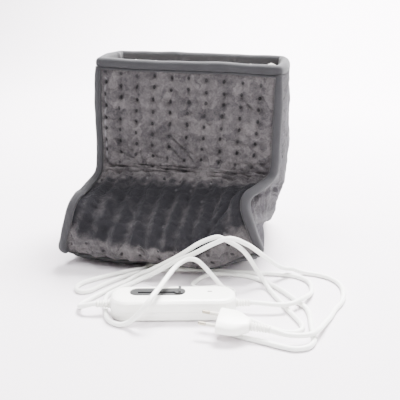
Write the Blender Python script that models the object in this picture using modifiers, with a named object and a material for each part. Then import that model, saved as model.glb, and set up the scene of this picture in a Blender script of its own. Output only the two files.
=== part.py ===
"""Electric foot warmer: a quilted plush boot for both feet, the heater in its sole, an in-line slide
controller and a two-pin mains plug.

Metres, +Z up. The boot stands on z = 0 with its toe towards -Y and its opening upwards. The origin is the
middle of the boot's floor area. Two cords lie on the floor in front of it: the mains cord from the plug to
the controller, and the heater cord from the controller to the boot.
"""

import math

import bmesh
import bpy
import numpy as np
from mathutils import Euler, Matrix, Vector

# Boot, outside sizes. The edge tables below are shares of these three.
HALF_WIDTH = 0.138
HALF_DEPTH = 0.125
HEIGHT = 0.265

# Boot, layers from the outside in.
PANEL_THICKNESS = 0.008
QUILT_DEPTH = 0.0024
LINING_THICKNESS = 0.005
LAYER_GAP = 0.002
SEAM_GAP = 0.0003
BINDING_RADIUS = 0.0045
RIM_HEIGHT = 0.0125
RIM_OVERHANG = 0.0015
RIM_ROUND = 0.003
LINING_RISE = 0.0012
LINING_EASE = 0.002
BACK_CROWN = 0.0081
SOLE_THICKNESS = 0.004
QUILT_COUNT = 11

# Heater, laid on the sole under the lining.
WADDING_THICKNESS = 0.005
FELT_THICKNESS = 0.002
HEATER_GAP = 0.0004
HEATER_REACH_SHARE = 0.60
WIRE_RADIUS = 0.0012
WIRE_RUNS = 10
WIRE_REACH_SHARE = 0.48
WIRE_TURN_SHARE = 0.036
WIRE_LEAD_SHARE = 0.211
WIRE_EDGE_SHARE = 0.187
CUTOUT_LENGTH = 0.014
CUTOUT_RADIUS = 0.0019
CUTOUT_BACK_SHARE = 0.6
SPLICE_LENGTH = 0.0115
SPLICE_RADIUS = 0.002
SPLICE_X = -0.0078
SPLICE_DEPTH_SHARE = -0.6272
SPLICE_Z = 0.0117

# Cords.
CORD_RADIUS = 0.0028
CORD_STEP = 0.0112
CORD_LEAD = 0.0045
HEATER_CORD_REACH = 0.0015
MAINS_CUT_SHARES = (0, 0.293, 0.671, 1)
FIT_GAP = 0.0003
OVERRUN = 0.001

# Controller case.
CASE_LENGTH = 0.140
CASE_WIDTH = 0.041
CASE_HEIGHT = 0.025
CASE_CORNER = 0.017
CASE_TOP_ROUND = 0.006
CASE_BOTTOM_ROUND = 0.003
CASE_WALL = 0.0022
CASE_PARTING = 0.012
CASE_X = 0.045
CASE_Y = -0.203
CASE_YAW = math.radians(15.9)
PORT_HEIGHT = 0.0125

# Controller slide.
TRACK_LENGTH = 0.062
TRACK_WIDTH = 0.017
TRACK_THICKNESS = 0.002
TRACK_SINK = 0.0008
TRACK_X = -0.0175
TRACK_Y = 0.004
SLIDE_TRAVEL = 0.045
KNOB_X = 0.0075
KNOB_RADIUS = 0.006
KNOB_THICKNESS = 0.0016
FIN_LENGTH = 0.003
FIN_WIDTH = 0.0112
FIN_HEIGHT = 0.0042
STEM_LENGTH = 0.0024
STEM_WIDTH = 0.0022
SLOT_WIDTH = 0.003
SWITCH_WIDTH = 0.009
SWITCH_HEIGHT = 0.0065
SWITCH_WALL = 0.002
CHANNEL_WIDTH = 0.004
CARRIAGE_LENGTH = 0.006
CARRIAGE_HEIGHT = 0.003

# Controller inside.
BOARD_LENGTH = 0.097
BOARD_WIDTH = 0.028
BOARD_THICKNESS = 0.0016
BOARD_HEIGHT = 0.0075
POST_RADIUS = 0.003
POST_SHARE = 0.464
LENS_LENGTH = 0.005
LENS_WIDTH = 0.0018
LENS_X = 0.041
LENS_Y = 0.004
LENS_PROUD = 0.0002
LED_RADIUS = 0.0025
LED_GAP = 0.001
CAPACITOR_SIZE = (0.017, 0.008, 0.0105)
CAPACITOR_PLACE = (0.028, -0.008)
TRIAC_SIZE = (0.005, 0.010, 0.009)
TRIAC_PLACE = (0.0445, -0.007)
BOSS_RADIUS = 0.003
BOSS_X = 0.058
BOSS_Y = 0.0125
BOSS_BITE = 0.0007
SCREW_RADIUS = 0.0012
SCREW_HEAD_RADIUS = 0.0026
SCREW_HEAD_HEIGHT = 0.001
SCREW_LENGTH = 0.016
SCREW_LOW = 0.0004
CLAMP_LENGTH = 0.006
CLAMP_WIDTH = 0.015
CLAMP_HEIGHT = 0.009
CLAMP_LOW = 0.008
CLAMP_X = 0.0575
CORD_END_X = 0.0505

# Strain reliefs: ribbed sleeves that taper from the case or plug along the cord.
RELIEF_LENGTH = 0.016
RELIEF_ROOT_RADIUS = 0.0048
RELIEF_TIP_RADIUS = 0.0041
RELIEF_FLANGE = 0.0008
RELIEF_COLLAR = 0.0016
RELIEF_RIBS = 5
RELIEF_RIB_DEPTH = 0.0005

# Plug.
PLUG_WIDTH = 0.0353
PLUG_THICKNESS = 0.0137
PLUG_LENGTH = 0.034
PLUG_CHAMFER = 0.006
PLUG_TIP_SHARE = 0.9
PLUG_SHAPE_SHARES = [
    (0.00, 0.94, 0.90),
    (0.05, 1.00, 1.00),
    (0.50, 1.00, 1.00),
    (0.68, 0.86, 1.00),
    (0.85, 0.56, 0.96),
    (1.00, 0.46, 0.92),
]
PLUG_X = 0.1035
PLUG_Y = -0.2335
PLUG_Z = 0.0170
PLUG_YAW = math.radians(1.5)
PLUG_ROLL = math.radians(10.0)
PLUG_PITCH = math.radians(4.0)
PIN_RADIUS = 0.002
PIN_LENGTH = 0.019
PIN_SPACING = 0.0186
PIN_ROOT = 0.010
SLEEVE_LENGTH = 0.010
SLEEVE_WALL = 0.0005
PLUG_RELIEF_LENGTH = 0.022
PLUG_RELIEF_ROOT_RADIUS = 0.0052
PLUG_NECK_RADIUS = 0.0042
PLUG_NECK_LENGTH = 0.006
PLUG_CORD_DEPTH = 0.008

# Boot cord gland, through the lifted front edge of the sole.
GLAND_LENGTH = 0.020
GLAND_RADIUS = 0.0038
GLAND_X = -0.016
GLAND_DEPTH_SHARE = -0.76
GLAND_Z = 0.0076
GLAND_TILT = math.radians(19.0)
GLAND_YAW = math.radians(-38.0)

# Seam lines of the boot as shares of half width, half depth and height, from the rim to the floor edge.
# Rows with the same number lie on one course round the boot. Row 3 is above the ankle, 4 below it, 7 the
# top corner of the toe and 11 the floor edge. The right toe corner is drawn in, as a soft boot slumps.
LEFT_SEAM_SHARES = [
    (-0.818, -0.200, 0.943),
    (-0.833, -0.208, 0.774),
    (-0.833, -0.216, 0.619),
    (-0.830, -0.236, 0.481),
    (-0.826, -0.330, 0.402),
    (-0.830, -0.660, 0.362),
    (-0.852, -0.830, 0.345),
    (-0.876, -0.924, 0.300),
    (-0.905, -0.950, 0.232),
    (-0.943, -0.956, 0.166),
    (-0.967, -0.940, 0.108),
    (-0.955, -0.880, 0.062),
]
MIDDLE_SHARES = [
    (0.050, -0.200, 0.936),
    (0.046, -0.210, 0.766),
    (0.043, -0.216, 0.611),
    (0.040, -0.232, 0.485),
    (0.036, -0.300, 0.426),
    (0.022, -0.480, 0.366),
    (0.010, -0.690, 0.300),
    (0.000, -0.870, 0.236),
    (-0.005, -0.960, 0.184),
    (-0.005, -1.000, 0.138),
    (-0.005, -0.975, 0.094),
    (-0.005, -0.905, 0.058),
]
RIGHT_SEAM_SHARES = [
    (0.942, -0.200, 0.928),
    (0.945, -0.208, 0.774),
    (0.942, -0.216, 0.619),
    (0.938, -0.240, 0.486),
    (0.906, -0.304, 0.438),
    (0.822, -0.490, 0.412),
    (0.764, -0.600, 0.398),
    (0.742, -0.655, 0.366),
    (0.758, -0.690, 0.320),
    (0.812, -0.716, 0.250),
    (0.868, -0.720, 0.178),
    (0.906, -0.700, 0.128),
]
HEEL_LEFT_SHARES = [
    (-0.826, 0.480, 0.943),
    (-0.830, 0.540, 0.811),
    (-0.830, 0.612, 0.679),
    (-0.826, 0.684, 0.566),
    (-0.819, 0.728, 0.498),
    (-0.812, 0.776, 0.423),
    (-0.804, 0.824, 0.355),
    (-0.797, 0.864, 0.294),
    (-0.783, 0.906, 0.226),
    (-0.761, 0.932, 0.158),
    (-0.725, 0.926, 0.083),
    (-0.688, 0.880, 0.030),
]
HEEL_RIGHT_SHARES = [
    (0.898, 0.480, 0.936),
    (0.898, 0.540, 0.804),
    (0.891, 0.612, 0.675),
    (0.884, 0.684, 0.562),
    (0.877, 0.728, 0.494),
    (0.862, 0.776, 0.419),
    (0.848, 0.824, 0.351),
    (0.826, 0.864, 0.291),
    (0.797, 0.906, 0.224),
    (0.761, 0.932, 0.156),
    (0.710, 0.926, 0.082),
    (0.652, 0.880, 0.030),
]
# How far the side panels bulge past their seams, row by row, as shares of the half width.
LEFT_BULGE_SHARES = (0.035, 0.04, 0.045, 0.045, 0.045, 0.045, 0.045, 0.045, 0.04, 0.035, 0.025, 0.015)
RIGHT_BULGE_SHARES = (0.054, 0.065, 0.076, 0.084, 0.098, 0.130, 0.155, 0.155, 0.130, 0.092, 0.050, 0.022)
ROWS = len(MIDDLE_SHARES) - 1
ANKLE_SHARE = 0.318
SHAFT_ROWS = 8
FOOT_ROWS = 14
FLAT_SHARE = 0.45
SOLE_FLAT_SHARE = 0.7
TOE_FLAT_SHARE = 0.45
TOE_SPRING_SHARE = 1.3
LINING_FLAT_SHARE = 0.5
LINING_ROW_SHARES = (0, 0.13, 0.22, 0.27, 0.315, 0.36, 0.405, 0.46, 0.56, 0.67, 0.78, 0.91)
NORMAL_STEP_SHARE = 0.05
ROW_STEP_SHARE = 0.045
INSIDE_SHARE = 0.17

# Cord routes between the sleeves, in metres, hand chosen. The mains cord runs from the plug up over the toe
# and under the left sleeve, then over the controller and round the plug, then back over the toe.
MAINS_OUTER_ROUTE = [
    (0.1750, -0.2330, 0.0108), (0.1890, -0.2300, 0.0100), (0.2010, -0.2225, 0.0095),
    (0.2075, -0.2080, 0.0080), (0.2120, -0.1890, 0.0050), (0.2170, -0.1700, 0.0030),
    (0.2210, -0.1520, 0.0028), (0.2270, -0.1340, 0.0028), (0.2285, -0.1174, 0.0028),
    (0.2270, -0.1000, 0.0028), (0.2210, -0.0840, 0.0028), (0.2100, -0.0730, 0.0028),
    (0.1950, -0.0675, 0.0028), (0.1810, -0.0665, 0.0030), (0.1710, -0.0685, 0.0052),
    (0.1630, -0.0730, 0.0096), (0.1555, -0.0795, 0.0122), (0.1490, -0.0865, 0.0170),
    (0.1430, -0.0930, 0.0230), (0.1370, -0.0985, 0.0300), (0.1306, -0.1040, 0.0372),
    (0.1225, -0.1095, 0.0455), (0.1146, -0.1140, 0.0529), (0.1093, -0.1190, 0.0577),
    (0.0997, -0.1260, 0.0646), (0.0910, -0.1310, 0.0670), (0.0735, -0.1340, 0.0592),
    (0.0616, -0.1354, 0.0520), (0.0491, -0.1354, 0.0440), (0.0275, -0.1354, 0.0322),
    (0.0161, -0.1360, 0.0244), (0.0044, -0.1365, 0.0164), (-0.0061, -0.1370, 0.0099),
    (-0.0151, -0.1380, 0.0051), (-0.0220, -0.1460, 0.0030), (-0.0339, -0.1678, 0.0028),
    (-0.0415, -0.1876, 0.0028),
]
MAINS_MIDDLE_ROUTE = [
    (-0.0380, -0.2044, 0.0028), (-0.0310, -0.2170, 0.0028), (-0.0235, -0.2329, 0.0028),
    (-0.0140, -0.2432, 0.0028), (-0.0015, -0.2470, 0.0032), (0.0090, -0.2460, 0.0075),
    (0.0170, -0.2455, 0.0155), (0.0235, -0.2440, 0.0235), (0.0285, -0.2390, 0.0305),
    (0.0310, -0.2290, 0.0340), (0.0325, -0.2160, 0.0355), (0.0335, -0.2000, 0.0365),
    (0.0340, -0.1840, 0.0372), (0.0355, -0.1650, 0.0380), (0.0390, -0.1500, 0.0385),
    (0.0460, -0.1430, 0.0405), (0.0560, -0.1425, 0.0395), (0.0650, -0.1440, 0.0335),
    (0.0730, -0.1470, 0.0275), (0.0810, -0.1505, 0.0215), (0.0900, -0.1540, 0.0145),
    (0.0980, -0.1535, 0.0085), (0.1020, -0.1460, 0.0045), (0.0990, -0.1375, 0.0028),
    (0.0900, -0.1330, 0.0028), (0.0780, -0.1340, 0.0028), (0.0680, -0.1385, 0.0028),
    (0.0590, -0.1425, 0.0028), (0.0515, -0.1410, 0.0028), (0.0485, -0.1340, 0.0028),
    (0.0505, -0.1230, 0.0028), (0.0550, -0.1110, 0.0028), (0.0610, -0.1020, 0.0028),
    (0.0710, -0.0970, 0.0028), (0.0860, -0.0945, 0.0028), (0.1050, -0.0940, 0.0028),
    (0.1250, -0.1000, 0.0028), (0.1428, -0.1109, 0.0028), (0.1560, -0.1215, 0.0028),
    (0.1676, -0.1336, 0.0028), (0.1780, -0.1455, 0.0028), (0.1887, -0.1577, 0.0028),
    (0.1940, -0.1720, 0.0028), (0.1970, -0.1900, 0.0028), (0.2000, -0.2070, 0.0028),
    (0.2035, -0.2220, 0.0028), (0.2000, -0.2360, 0.0028), (0.1870, -0.2445, 0.0028),
    (0.1700, -0.2435, 0.0028), (0.1550, -0.2405, 0.0028), (0.1430, -0.2385, 0.0028),
    (0.1313, -0.2368, 0.0028), (0.1200, -0.2335, 0.0028), (0.1115, -0.2260, 0.0028),
    (0.1095, -0.2145, 0.0028), (0.1145, -0.2050, 0.0028), (0.1230, -0.2000, 0.0028),
    (0.1330, -0.2005, 0.0028),
]
MAINS_INNER_ROUTE = [
    (0.1430, -0.2060, 0.0028), (0.1560, -0.2115, 0.0028), (0.1710, -0.2155, 0.0028),
    (0.1830, -0.2130, 0.0028), (0.1890, -0.2050, 0.0028), (0.1875, -0.1950, 0.0028),
    (0.1810, -0.1840, 0.0028), (0.1722, -0.1715, 0.0028), (0.1620, -0.1555, 0.0028),
    (0.1520, -0.1400, 0.0028), (0.1440, -0.1275, 0.0028), (0.1380, -0.1185, 0.0045),
    (0.1305, -0.1135, 0.0120), (0.1242, -0.1145, 0.0218), (0.1193, -0.1160, 0.0305),
    (0.1120, -0.1180, 0.0425), (0.1037, -0.1205, 0.0518), (0.0893, -0.1228, 0.0603),
    (0.0771, -0.1235, 0.0644), (0.0651, -0.1250, 0.0605), (0.0533, -0.1278, 0.0545),
    (0.0384, -0.1288, 0.0433), (0.0229, -0.1288, 0.0321), (0.0113, -0.1292, 0.0248),
    (0.0008, -0.1298, 0.0184), (-0.0122, -0.1310, 0.0111), (-0.0236, -0.1330, 0.0058),
    (-0.0330, -0.1480, 0.0030), (-0.0425, -0.1660, 0.0028), (-0.0505, -0.1845, 0.0028),
    (-0.0575, -0.2010, 0.0028), (-0.0615, -0.2145, 0.0032), (-0.0585, -0.2265, 0.0060),
    (-0.0495, -0.2303, 0.0105),
]
HEATER_ROUTE = [
    (0.1470, -0.1752, 0.0113), (0.1610, -0.1710, 0.0099), (0.1740, -0.1625, 0.0094),
    (0.1825, -0.1500, 0.0094), (0.1880, -0.1360, 0.0070), (0.1908, -0.1220, 0.0038),
    (0.1910, -0.1100, 0.0028), (0.1885, -0.0970, 0.0028), (0.1825, -0.0865, 0.0028),
    (0.1720, -0.0800, 0.0028), (0.1600, -0.0778, 0.0028), (0.1430, -0.0785, 0.0028),
    (0.1250, -0.0810, 0.0028), (0.1060, -0.0845, 0.0028), (0.0850, -0.0870, 0.0028),
    (0.0560, -0.0905, 0.0028), (0.0360, -0.0940, 0.0028), (0.0180, -0.0985, 0.0028),
    (0.0020, -0.1035, 0.0028), (-0.0120, -0.1095, 0.0028), (-0.0250, -0.1185, 0.0028),
    (-0.0370, -0.1305, 0.0028), (-0.0480, -0.1460, 0.0028), (-0.0560, -0.1600, 0.0028),
    (-0.0620, -0.1730, 0.0028), (-0.0680, -0.1840, 0.0028), (-0.0770, -0.1875, 0.0028),
    (-0.0850, -0.1815, 0.0028), (-0.0860, -0.1700, 0.0028), (-0.0790, -0.1575, 0.0028),
    (-0.0690, -0.1460, 0.0028), (-0.0580, -0.1345, 0.0028), (-0.0460, -0.1230, 0.0028),
    (-0.0360, -0.1150, 0.0028),
]

GREY_PLUSH = (0.19, 0.185, 0.18)
GREY_TAPE = (0.17, 0.165, 0.185)
OFF_WHITE = (0.80, 0.77, 0.71)
WHITE_PLASTIC = (0.80, 0.80, 0.78)
DARK_PLASTIC = (0.10, 0.10, 0.11)
METAL = (0.62, 0.60, 0.56)
GREEN_BOARD = (0.03, 0.16, 0.08)
AMBER = (0.75, 0.30, 0.05)
DARK_CLOTH = (0.07, 0.07, 0.075)


def clear_scene():
    for obj in list(bpy.data.objects):
        bpy.data.objects.remove(obj)


def collection(name, helper=False):
    made = bpy.data.collections.new(name)
    made.hide_render = helper
    bpy.context.scene.collection.children.link(made)
    return made


def material(name, colour, roughness, metallic=0.0):
    made = bpy.data.materials.new(name)
    made.use_nodes = True
    shader = made.node_tree.nodes["Principled BSDF"]
    shader.inputs["Base Color"].default_value = (*colour, 1)
    shader.inputs["Roughness"].default_value = roughness
    shader.inputs["Metallic"].default_value = metallic
    return made


def add(obj, colour=GREY_PLUSH, roughness=0.9, metallic=0.0, parent=None):
    """Puts a finished object in the parts collection with its own material."""
    PARTS.objects.link(obj)
    obj.data.materials.append(material(obj.name, colour, roughness, metallic))
    obj.parent = parent
    return obj


def mesh_object(name, bm, smooth=True):
    bmesh.ops.recalc_face_normals(bm, faces=bm.faces)
    mesh = bpy.data.meshes.new(name)
    bm.to_mesh(mesh)
    bm.free()
    if smooth:
        mesh.shade_smooth()
        mesh.set_sharp_from_angle(angle=math.radians(40))
    return bpy.data.objects.new(name, mesh)


def cutter(name, bm, parent=None):
    obj = mesh_object(name, bm, smooth=False)
    CUTTERS.objects.link(obj)
    obj.hide_render = True
    obj.display_type = "WIRE"
    obj.parent = parent
    return obj


def boolean(obj, other, operation="DIFFERENCE"):
    made = obj.modifiers.new(other.name, "BOOLEAN")
    made.object = other
    made.operation = operation
    made.solver = "EXACT"


def box(size, centre):
    bm = bmesh.new()
    matrix = Matrix.Translation(centre) @ Matrix.Diagonal((*size, 1))
    bmesh.ops.create_cube(bm, size=1, matrix=matrix)
    return bm


def cylinder(radius, length, centre, axis="Z", sides=16):
    turn = {"X": Matrix.Rotation(math.pi / 2, 4, "Y"), "Y": Matrix.Rotation(math.pi / 2, 4, "X")}
    matrix = Matrix.Translation(centre) @ turn.get(axis, Matrix.Identity(4))
    bm = bmesh.new()
    bmesh.ops.create_cone(
        bm, cap_ends=True, segments=sides, radius1=radius, radius2=radius, depth=length, matrix=matrix
    )
    return bm


def pill(length, width, low, high, centre, segments=6):
    """A flat bar with round ends, from its outline."""
    bm = box((length, width, high - low), (*centre, (low + high) / 2))
    upright = [e for e in bm.edges if abs(e.verts[0].co.z - e.verts[1].co.z) > (high - low) / 2]
    bmesh.ops.bevel(bm, geom=upright, offset=width / 2 - SEAM_GAP, segments=segments, affect="EDGES", profile=0.5)
    return bm


def rows_at(table, scale, row):
    """A place on a smooth line through a table's points, where row counts the points."""
    points = np.array(table) * scale
    slopes = np.gradient(points, axis=0)
    i = int(min(max(math.floor(row), 0), len(points) - 2))
    u = row - i
    return (
        (2 * u**3 - 3 * u**2 + 1) * points[i]
        + (u**3 - 2 * u**2 + u) * slopes[i]
        + (3 * u**2 - 2 * u**3) * points[i + 1]
        + (u**3 - u**2) * slopes[i + 1]
    )


def seam(table, row):
    return rows_at(table, np.array((HALF_WIDTH, HALF_DEPTH, HEIGHT)), row)


def bulge(side, row):
    table = LEFT_BULGE_SHARES if side < 0 else RIGHT_BULGE_SHARES
    return float(rows_at([(share,) for share in table], HALF_WIDTH, row)[0])


def front_place(across, row):
    """The outer skin of the front, where across runs from -1 at the left seam to 1 at the right seam."""
    middle = seam(MIDDLE_SHARES, row)
    edge = seam(LEFT_SEAM_SHARES if across < 0 else RIGHT_SEAM_SHARES, row)
    far = abs(across)
    u = min(max((far - FLAT_SHARE) / (1 - FLAT_SHARE), 0), 1)
    rise = u * u * (3 - 2 * u)
    return middle + (edge - middle) * np.array((far, rise, rise))


def back_place(across, row):
    left, right = seam(HEEL_LEFT_SHARES, row), seam(HEEL_RIGHT_SHARES, row)
    place = left + (right - left) * (across + 1) / 2
    place[1] += BACK_CROWN * (1 - across**2)
    return place


def square_to_seam(table, row):
    """The direction in a side's plane that leaves a seam squarely, towards the heel or down."""
    step = ROW_STEP_SHARE * ROWS
    run = seam(table, row + step) - seam(table, row - step)
    return np.array((0, -run[2], run[1])) / math.hypot(run[1], run[2])


def side_place(side, back, row, depth=0, margin=0):
    """A place on a side, where back runs from 0 at the front seam to 1 at the heel seam.

    It lies at a depth under the skin, and its ends are a margin away from the seams.
    """
    tables = (LEFT_SEAM_SHARES, HEEL_LEFT_SHARES) if side < 0 else (RIGHT_SEAM_SHARES, HEEL_RIGHT_SHARES)
    front, heel = (seam(table, row) for table in tables)
    square_front, square_heel = (square_to_seam(table, row) for table in tables)
    place = front + (heel - front) * back + margin * (square_front * (1 - back) - square_heel * back)
    along = back + margin / np.linalg.norm(heel - front) * (1 - 2 * back)
    place[0] += side * (bulge(side, row) * 4 * along * (1 - along) - depth)
    return place


def outward(skin, along, row):
    """The unit normal of a skin, away from the boot's inside."""
    step = ROW_STEP_SHARE * ROWS
    a = skin(min(along + NORMAL_STEP_SHARE, 1), row) - skin(max(along - NORMAL_STEP_SHARE, -1), row)
    b = skin(along, min(row + step, ROWS)) - skin(along, max(row - step, 0))
    normal = np.cross(a, b)
    normal /= np.linalg.norm(normal)
    inside = np.array((0, HALF_DEPTH * INSIDE_SHARE, HEIGHT * INSIDE_SHARE))
    return normal if normal @ (skin(along, row) - inside) > 0 else -normal


def inset(skin, along, row, depth):
    return skin(along, row) - outward(skin, along, row) * depth


def solid_between(name, columns, rows, place):
    """A closed solid between two skins: place(u, v, layer), with layer 0 on the outside and 1 inside."""
    bm = bmesh.new()
    layers = [
        [[bm.verts.new(place(i / columns, j / rows, layer)) for i in range(columns + 1)] for j in range(rows + 1)]
        for layer in (0, 1)
    ]
    for grid in layers:
        for j in range(rows):
            for i in range(columns):
                bm.faces.new((grid[j][i], grid[j][i + 1], grid[j + 1][i + 1], grid[j + 1][i]))
    border = [(0, i) for i in range(columns)] + [(j, columns) for j in range(rows)]
    border += [(rows, columns - i) for i in range(columns)] + [(rows - j, 0) for j in range(rows)]
    for (j, i), (k, m) in zip(border, border[1:] + border[:1]):
        bm.faces.new((layers[0][j][i], layers[0][k][m], layers[1][k][m], layers[1][j][i]))
    return mesh_object(name, bm)


def seam_margin(layer):
    """How far a panel's edge lies from its seam. The edges are mitred, so that two panels meet."""
    outer = BINDING_RADIUS + FIT_GAP
    return outer if layer == 0 else max(PANEL_THICKNESS + LAYER_GAP, outer)


def quilt(share, layer):
    """The depth of a place on a quilted panel: stitched channels between padded ribs."""
    phase = (share * QUILT_COUNT) % 1
    channel = abs(2 * phase - 1)
    return PANEL_THICKNESS if layer else QUILT_DEPTH * channel


def front_panel(name, first, last, rows):
    """The quilted front cloth between two rows, from the left seam to the right seam."""

    def place(u, v, layer):
        row = first + (last - first) * v
        middle = seam(MIDDLE_SHARES, row)
        widths = [abs(seam(table, row)[0] - middle[0]) for table in (LEFT_SEAM_SHARES, RIGHT_SEAM_SHARES)]
        low, high = (1 - seam_margin(layer) / width for width in widths)
        return inset(front_place, -low + (low + high) * u, row, quilt(u, layer))

    return solid_between(name, 2 * QUILT_COUNT, rows, place)


def course_rows():
    """The rows of the courses that the sides, the seams and the front share."""
    ankle = ANKLE_SHARE * ROWS
    shaft = [ankle * i / SHAFT_ROWS for i in range(SHAFT_ROWS)]
    return shaft + [ankle + (ROWS - ankle) * i / FOOT_ROWS for i in range(FOOT_ROWS + 1)]


def side_panel(name, side, columns):
    """One plain side of the boot, from the front seam to the heel seam."""
    rows = course_rows()

    def place(u, v, layer):
        row = rows[round(v * (len(rows) - 1))]
        return side_place(side, u, row, layer * PANEL_THICKNESS, seam_margin(layer))

    return solid_between(name, columns, len(rows) - 1, place)


def back_panel(name, rows):
    def place(u, v, layer):
        row = ROWS * v
        width = np.linalg.norm(back_place(1, row) - back_place(-1, row)) / 2
        reach = 1 - seam_margin(layer) / width
        return inset(back_place, reach * (2 * u - 1), row, quilt(u, layer))

    return solid_between(name, 2 * QUILT_COUNT, rows, place)


def past_end(skin, along, beyond):
    """A place past a skin's last row, straight on from its end."""
    end, before = skin(along, ROWS), skin(along, ROWS * (1 - ROW_STEP_SHARE))
    return end + (end - before) / np.linalg.norm(end - before) * beyond


def sole_place(across, back, lift):
    """A place over the sole's underside, which lies flat but turns up at its rim and lifts under the toe."""
    beyond = SEAM_GAP + SOLE_THICKNESS - lift
    front, heel = past_end(front_place, across, beyond), past_end(back_place, across, beyond)
    place = front + (heel - front) * back
    side = -1 if across < 0 else 1
    place[0] += side * abs(across) ** 3 * bulge(side, ROWS) * 4 * back * (1 - back)
    rise = (max(abs(across), 2 * back - 1) - SOLE_FLAT_SHARE) / (1 - SOLE_FLAT_SHARE)
    spring = (1 - 2 * back - TOE_FLAT_SHARE) / (1 - TOE_FLAT_SHARE)
    turn = max(max(rise, 0) ** 2, max(spring, 0) ** TOE_SPRING_SHARE)
    place[2] = place[2] * turn + lift * (1 - turn)
    return place


def sole_layer(name, reach, low, high, columns, rows):
    """A layer over the sole between two heights, reaching a share of the way to the sole's rim."""

    def place(u, v, layer):
        back = 0.5 + reach * (v - 0.5)
        return sole_place(reach * (2 * u - 1), back, high if layer else low)

    return solid_between(name, columns, rows, place)


def lining_ring(row, count, side_count):
    """Places round the boot's lining at one row, from the front left seam. It lies looser in the foot."""
    foot = min(max(row / (ANKLE_SHARE * ROWS) * 2 - 1, 0), 1)
    depth = PANEL_THICKNESS + LAYER_GAP + LINING_EASE * foot
    middle = seam(MIDDLE_SHARES, row)
    reach = [1 - depth / abs(seam(t, row)[0] - middle[0]) for t in (LEFT_SEAM_SHARES, RIGHT_SEAM_SHARES)]
    ring = [
        inset(front_place, -reach[0] + sum(reach) * i / count, row, depth)
        for i in range(count + 1)
    ]
    ring += [side_place(1, i / side_count, row, depth, depth) for i in range(1, side_count)]
    across = 1 - 2 * depth / np.linalg.norm(back_place(1, row) - back_place(-1, row))
    ring += [inset(back_place, across * (1 - 2 * i / count), row, depth) for i in range(count + 1)]
    ring += [side_place(-1, 1 - i / side_count, row, depth, depth) for i in range(1, side_count)]
    return ring


def teddy_lining(name):
    """The plush sock inside the boot: rings down its walls, closed by a floor over the heater."""
    count, sides = 12, 6
    bm = bmesh.new()
    rows = [lining_ring(share * ROWS, count, sides) for share in LINING_ROW_SHARES]
    rows.insert(0, [place + (0, 0, RIM_HEIGHT + LINING_RISE) for place in rows[0]])
    rings = [[bm.verts.new(place) for place in row] for row in rows]
    for upper, lower in zip(rings, rings[1:]):
        for i in range(len(upper)):
            j = (i + 1) % len(upper)
            bm.faces.new((upper[i], upper[j], lower[j], lower[i]))
    floor = felt_top() + 2 * (HEATER_GAP + CUTOUT_RADIUS)
    last = rings[-1]
    front, right = last[: count + 1], last[count : count + sides + 1]
    back, left = last[count + sides : 2 * count + sides + 1][::-1], [last[0], *last[2 * count + sides + 1 :][::-1]]
    left.append(back[0])
    grid = [front]
    for k in range(1, sides):
        row = [left[k]]
        for i in range(1, count):
            place = np.array(front[i].co.lerp(back[i].co, k / sides))
            u = max((max(abs(2 * i / count - 1), abs(2 * k / sides - 1)) - LINING_FLAT_SHARE), 0)
            u /= 1 - LINING_FLAT_SHARE
            place[2] = place[2] * u * u + floor * (1 - u * u)
            row.append(bm.verts.new(place))
        grid.append([*row, right[k]])
    grid.append(back)
    for near, far in zip(grid, grid[1:]):
        for i in range(count):
            bm.faces.new((near[i], near[i + 1], far[i + 1], far[i]))
    obj = mesh_object(name, bm)
    shell = obj.modifiers.new("thickness", "SOLIDIFY")
    shell.thickness = LINING_THICKNESS
    shell.offset = -1
    return obj


def rim_binding(name):
    """The tape folded over the top edges of the panels, as one ring round the opening."""
    count, sides = 10, 5
    ring = [front_place(2 * i / count - 1, 0) for i in range(count + 1)]
    ring += [side_place(1, i / sides, 0) for i in range(1, sides)]
    ring += [back_place(1 - 2 * i / count, 0) for i in range(count + 1)]
    ring += [side_place(-1, 1 - i / sides, 0) for i in range(1, sides)]
    bm = bmesh.new()
    loops = [[], []]
    for before, place, after in zip(ring[-1:] + ring[:-1], ring, ring[1:] + ring[:1]):
        first, second = (np.array((d[1], -d[0], 0)) for d in (place - before, after - place))
        first /= np.linalg.norm(first)
        second /= np.linalg.norm(second)
        mitre = (first + second) / (1 + first @ second) * RIM_OVERHANG
        for loop, lift in zip(loops, (SEAM_GAP, SEAM_GAP + RIM_HEIGHT)):
            loop.append(bm.verts.new(place + mitre + (0, 0, lift)))
    for i in range(len(ring)):
        j = (i + 1) % len(ring)
        bm.faces.new((loops[0][i], loops[0][j], loops[1][j], loops[1][i]))
    obj = mesh_object(name, bm)
    shell = obj.modifiers.new("thickness", "SOLIDIFY")
    shell.thickness = RIM_OVERHANG + PANEL_THICKNESS + LAYER_GAP / 2
    shell.offset = -1
    shell.use_even_offset = True
    bevel = obj.modifiers.new("fold", "BEVEL")
    bevel.width = RIM_ROUND
    bevel.segments = 2
    bevel.limit_method = "ANGLE"
    bevel.angle_limit = math.radians(60)
    return obj


def tube(name, points, radius, resolution=2):
    """A tube along a line of places, with filled ends."""
    curve = bpy.data.curves.new(name, "CURVE")
    curve.dimensions = "3D"
    spline = curve.splines.new("POLY")
    spline.points.add(len(points) - 1)
    for point, place in zip(spline.points, points):
        point.co = (*place, 1)
    curve.bevel_depth = radius
    curve.bevel_resolution = resolution
    curve.use_fill_caps = True
    return bpy.data.objects.new(name, curve)


def seam_binding(name, table):
    """The round tape over one upright seam, from under the rim to just above the sole."""
    drop = BINDING_RADIUS / np.linalg.norm(seam(table, ROWS) - seam(table, ROWS - 1))
    top = SEAM_GAP / np.linalg.norm(seam(table, 1) - seam(table, 0))
    rows = [min(max(row, top), ROWS - drop) for row in course_rows()]
    return tube(name, [seam(table, row) for row in rows], BINDING_RADIUS)


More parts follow.
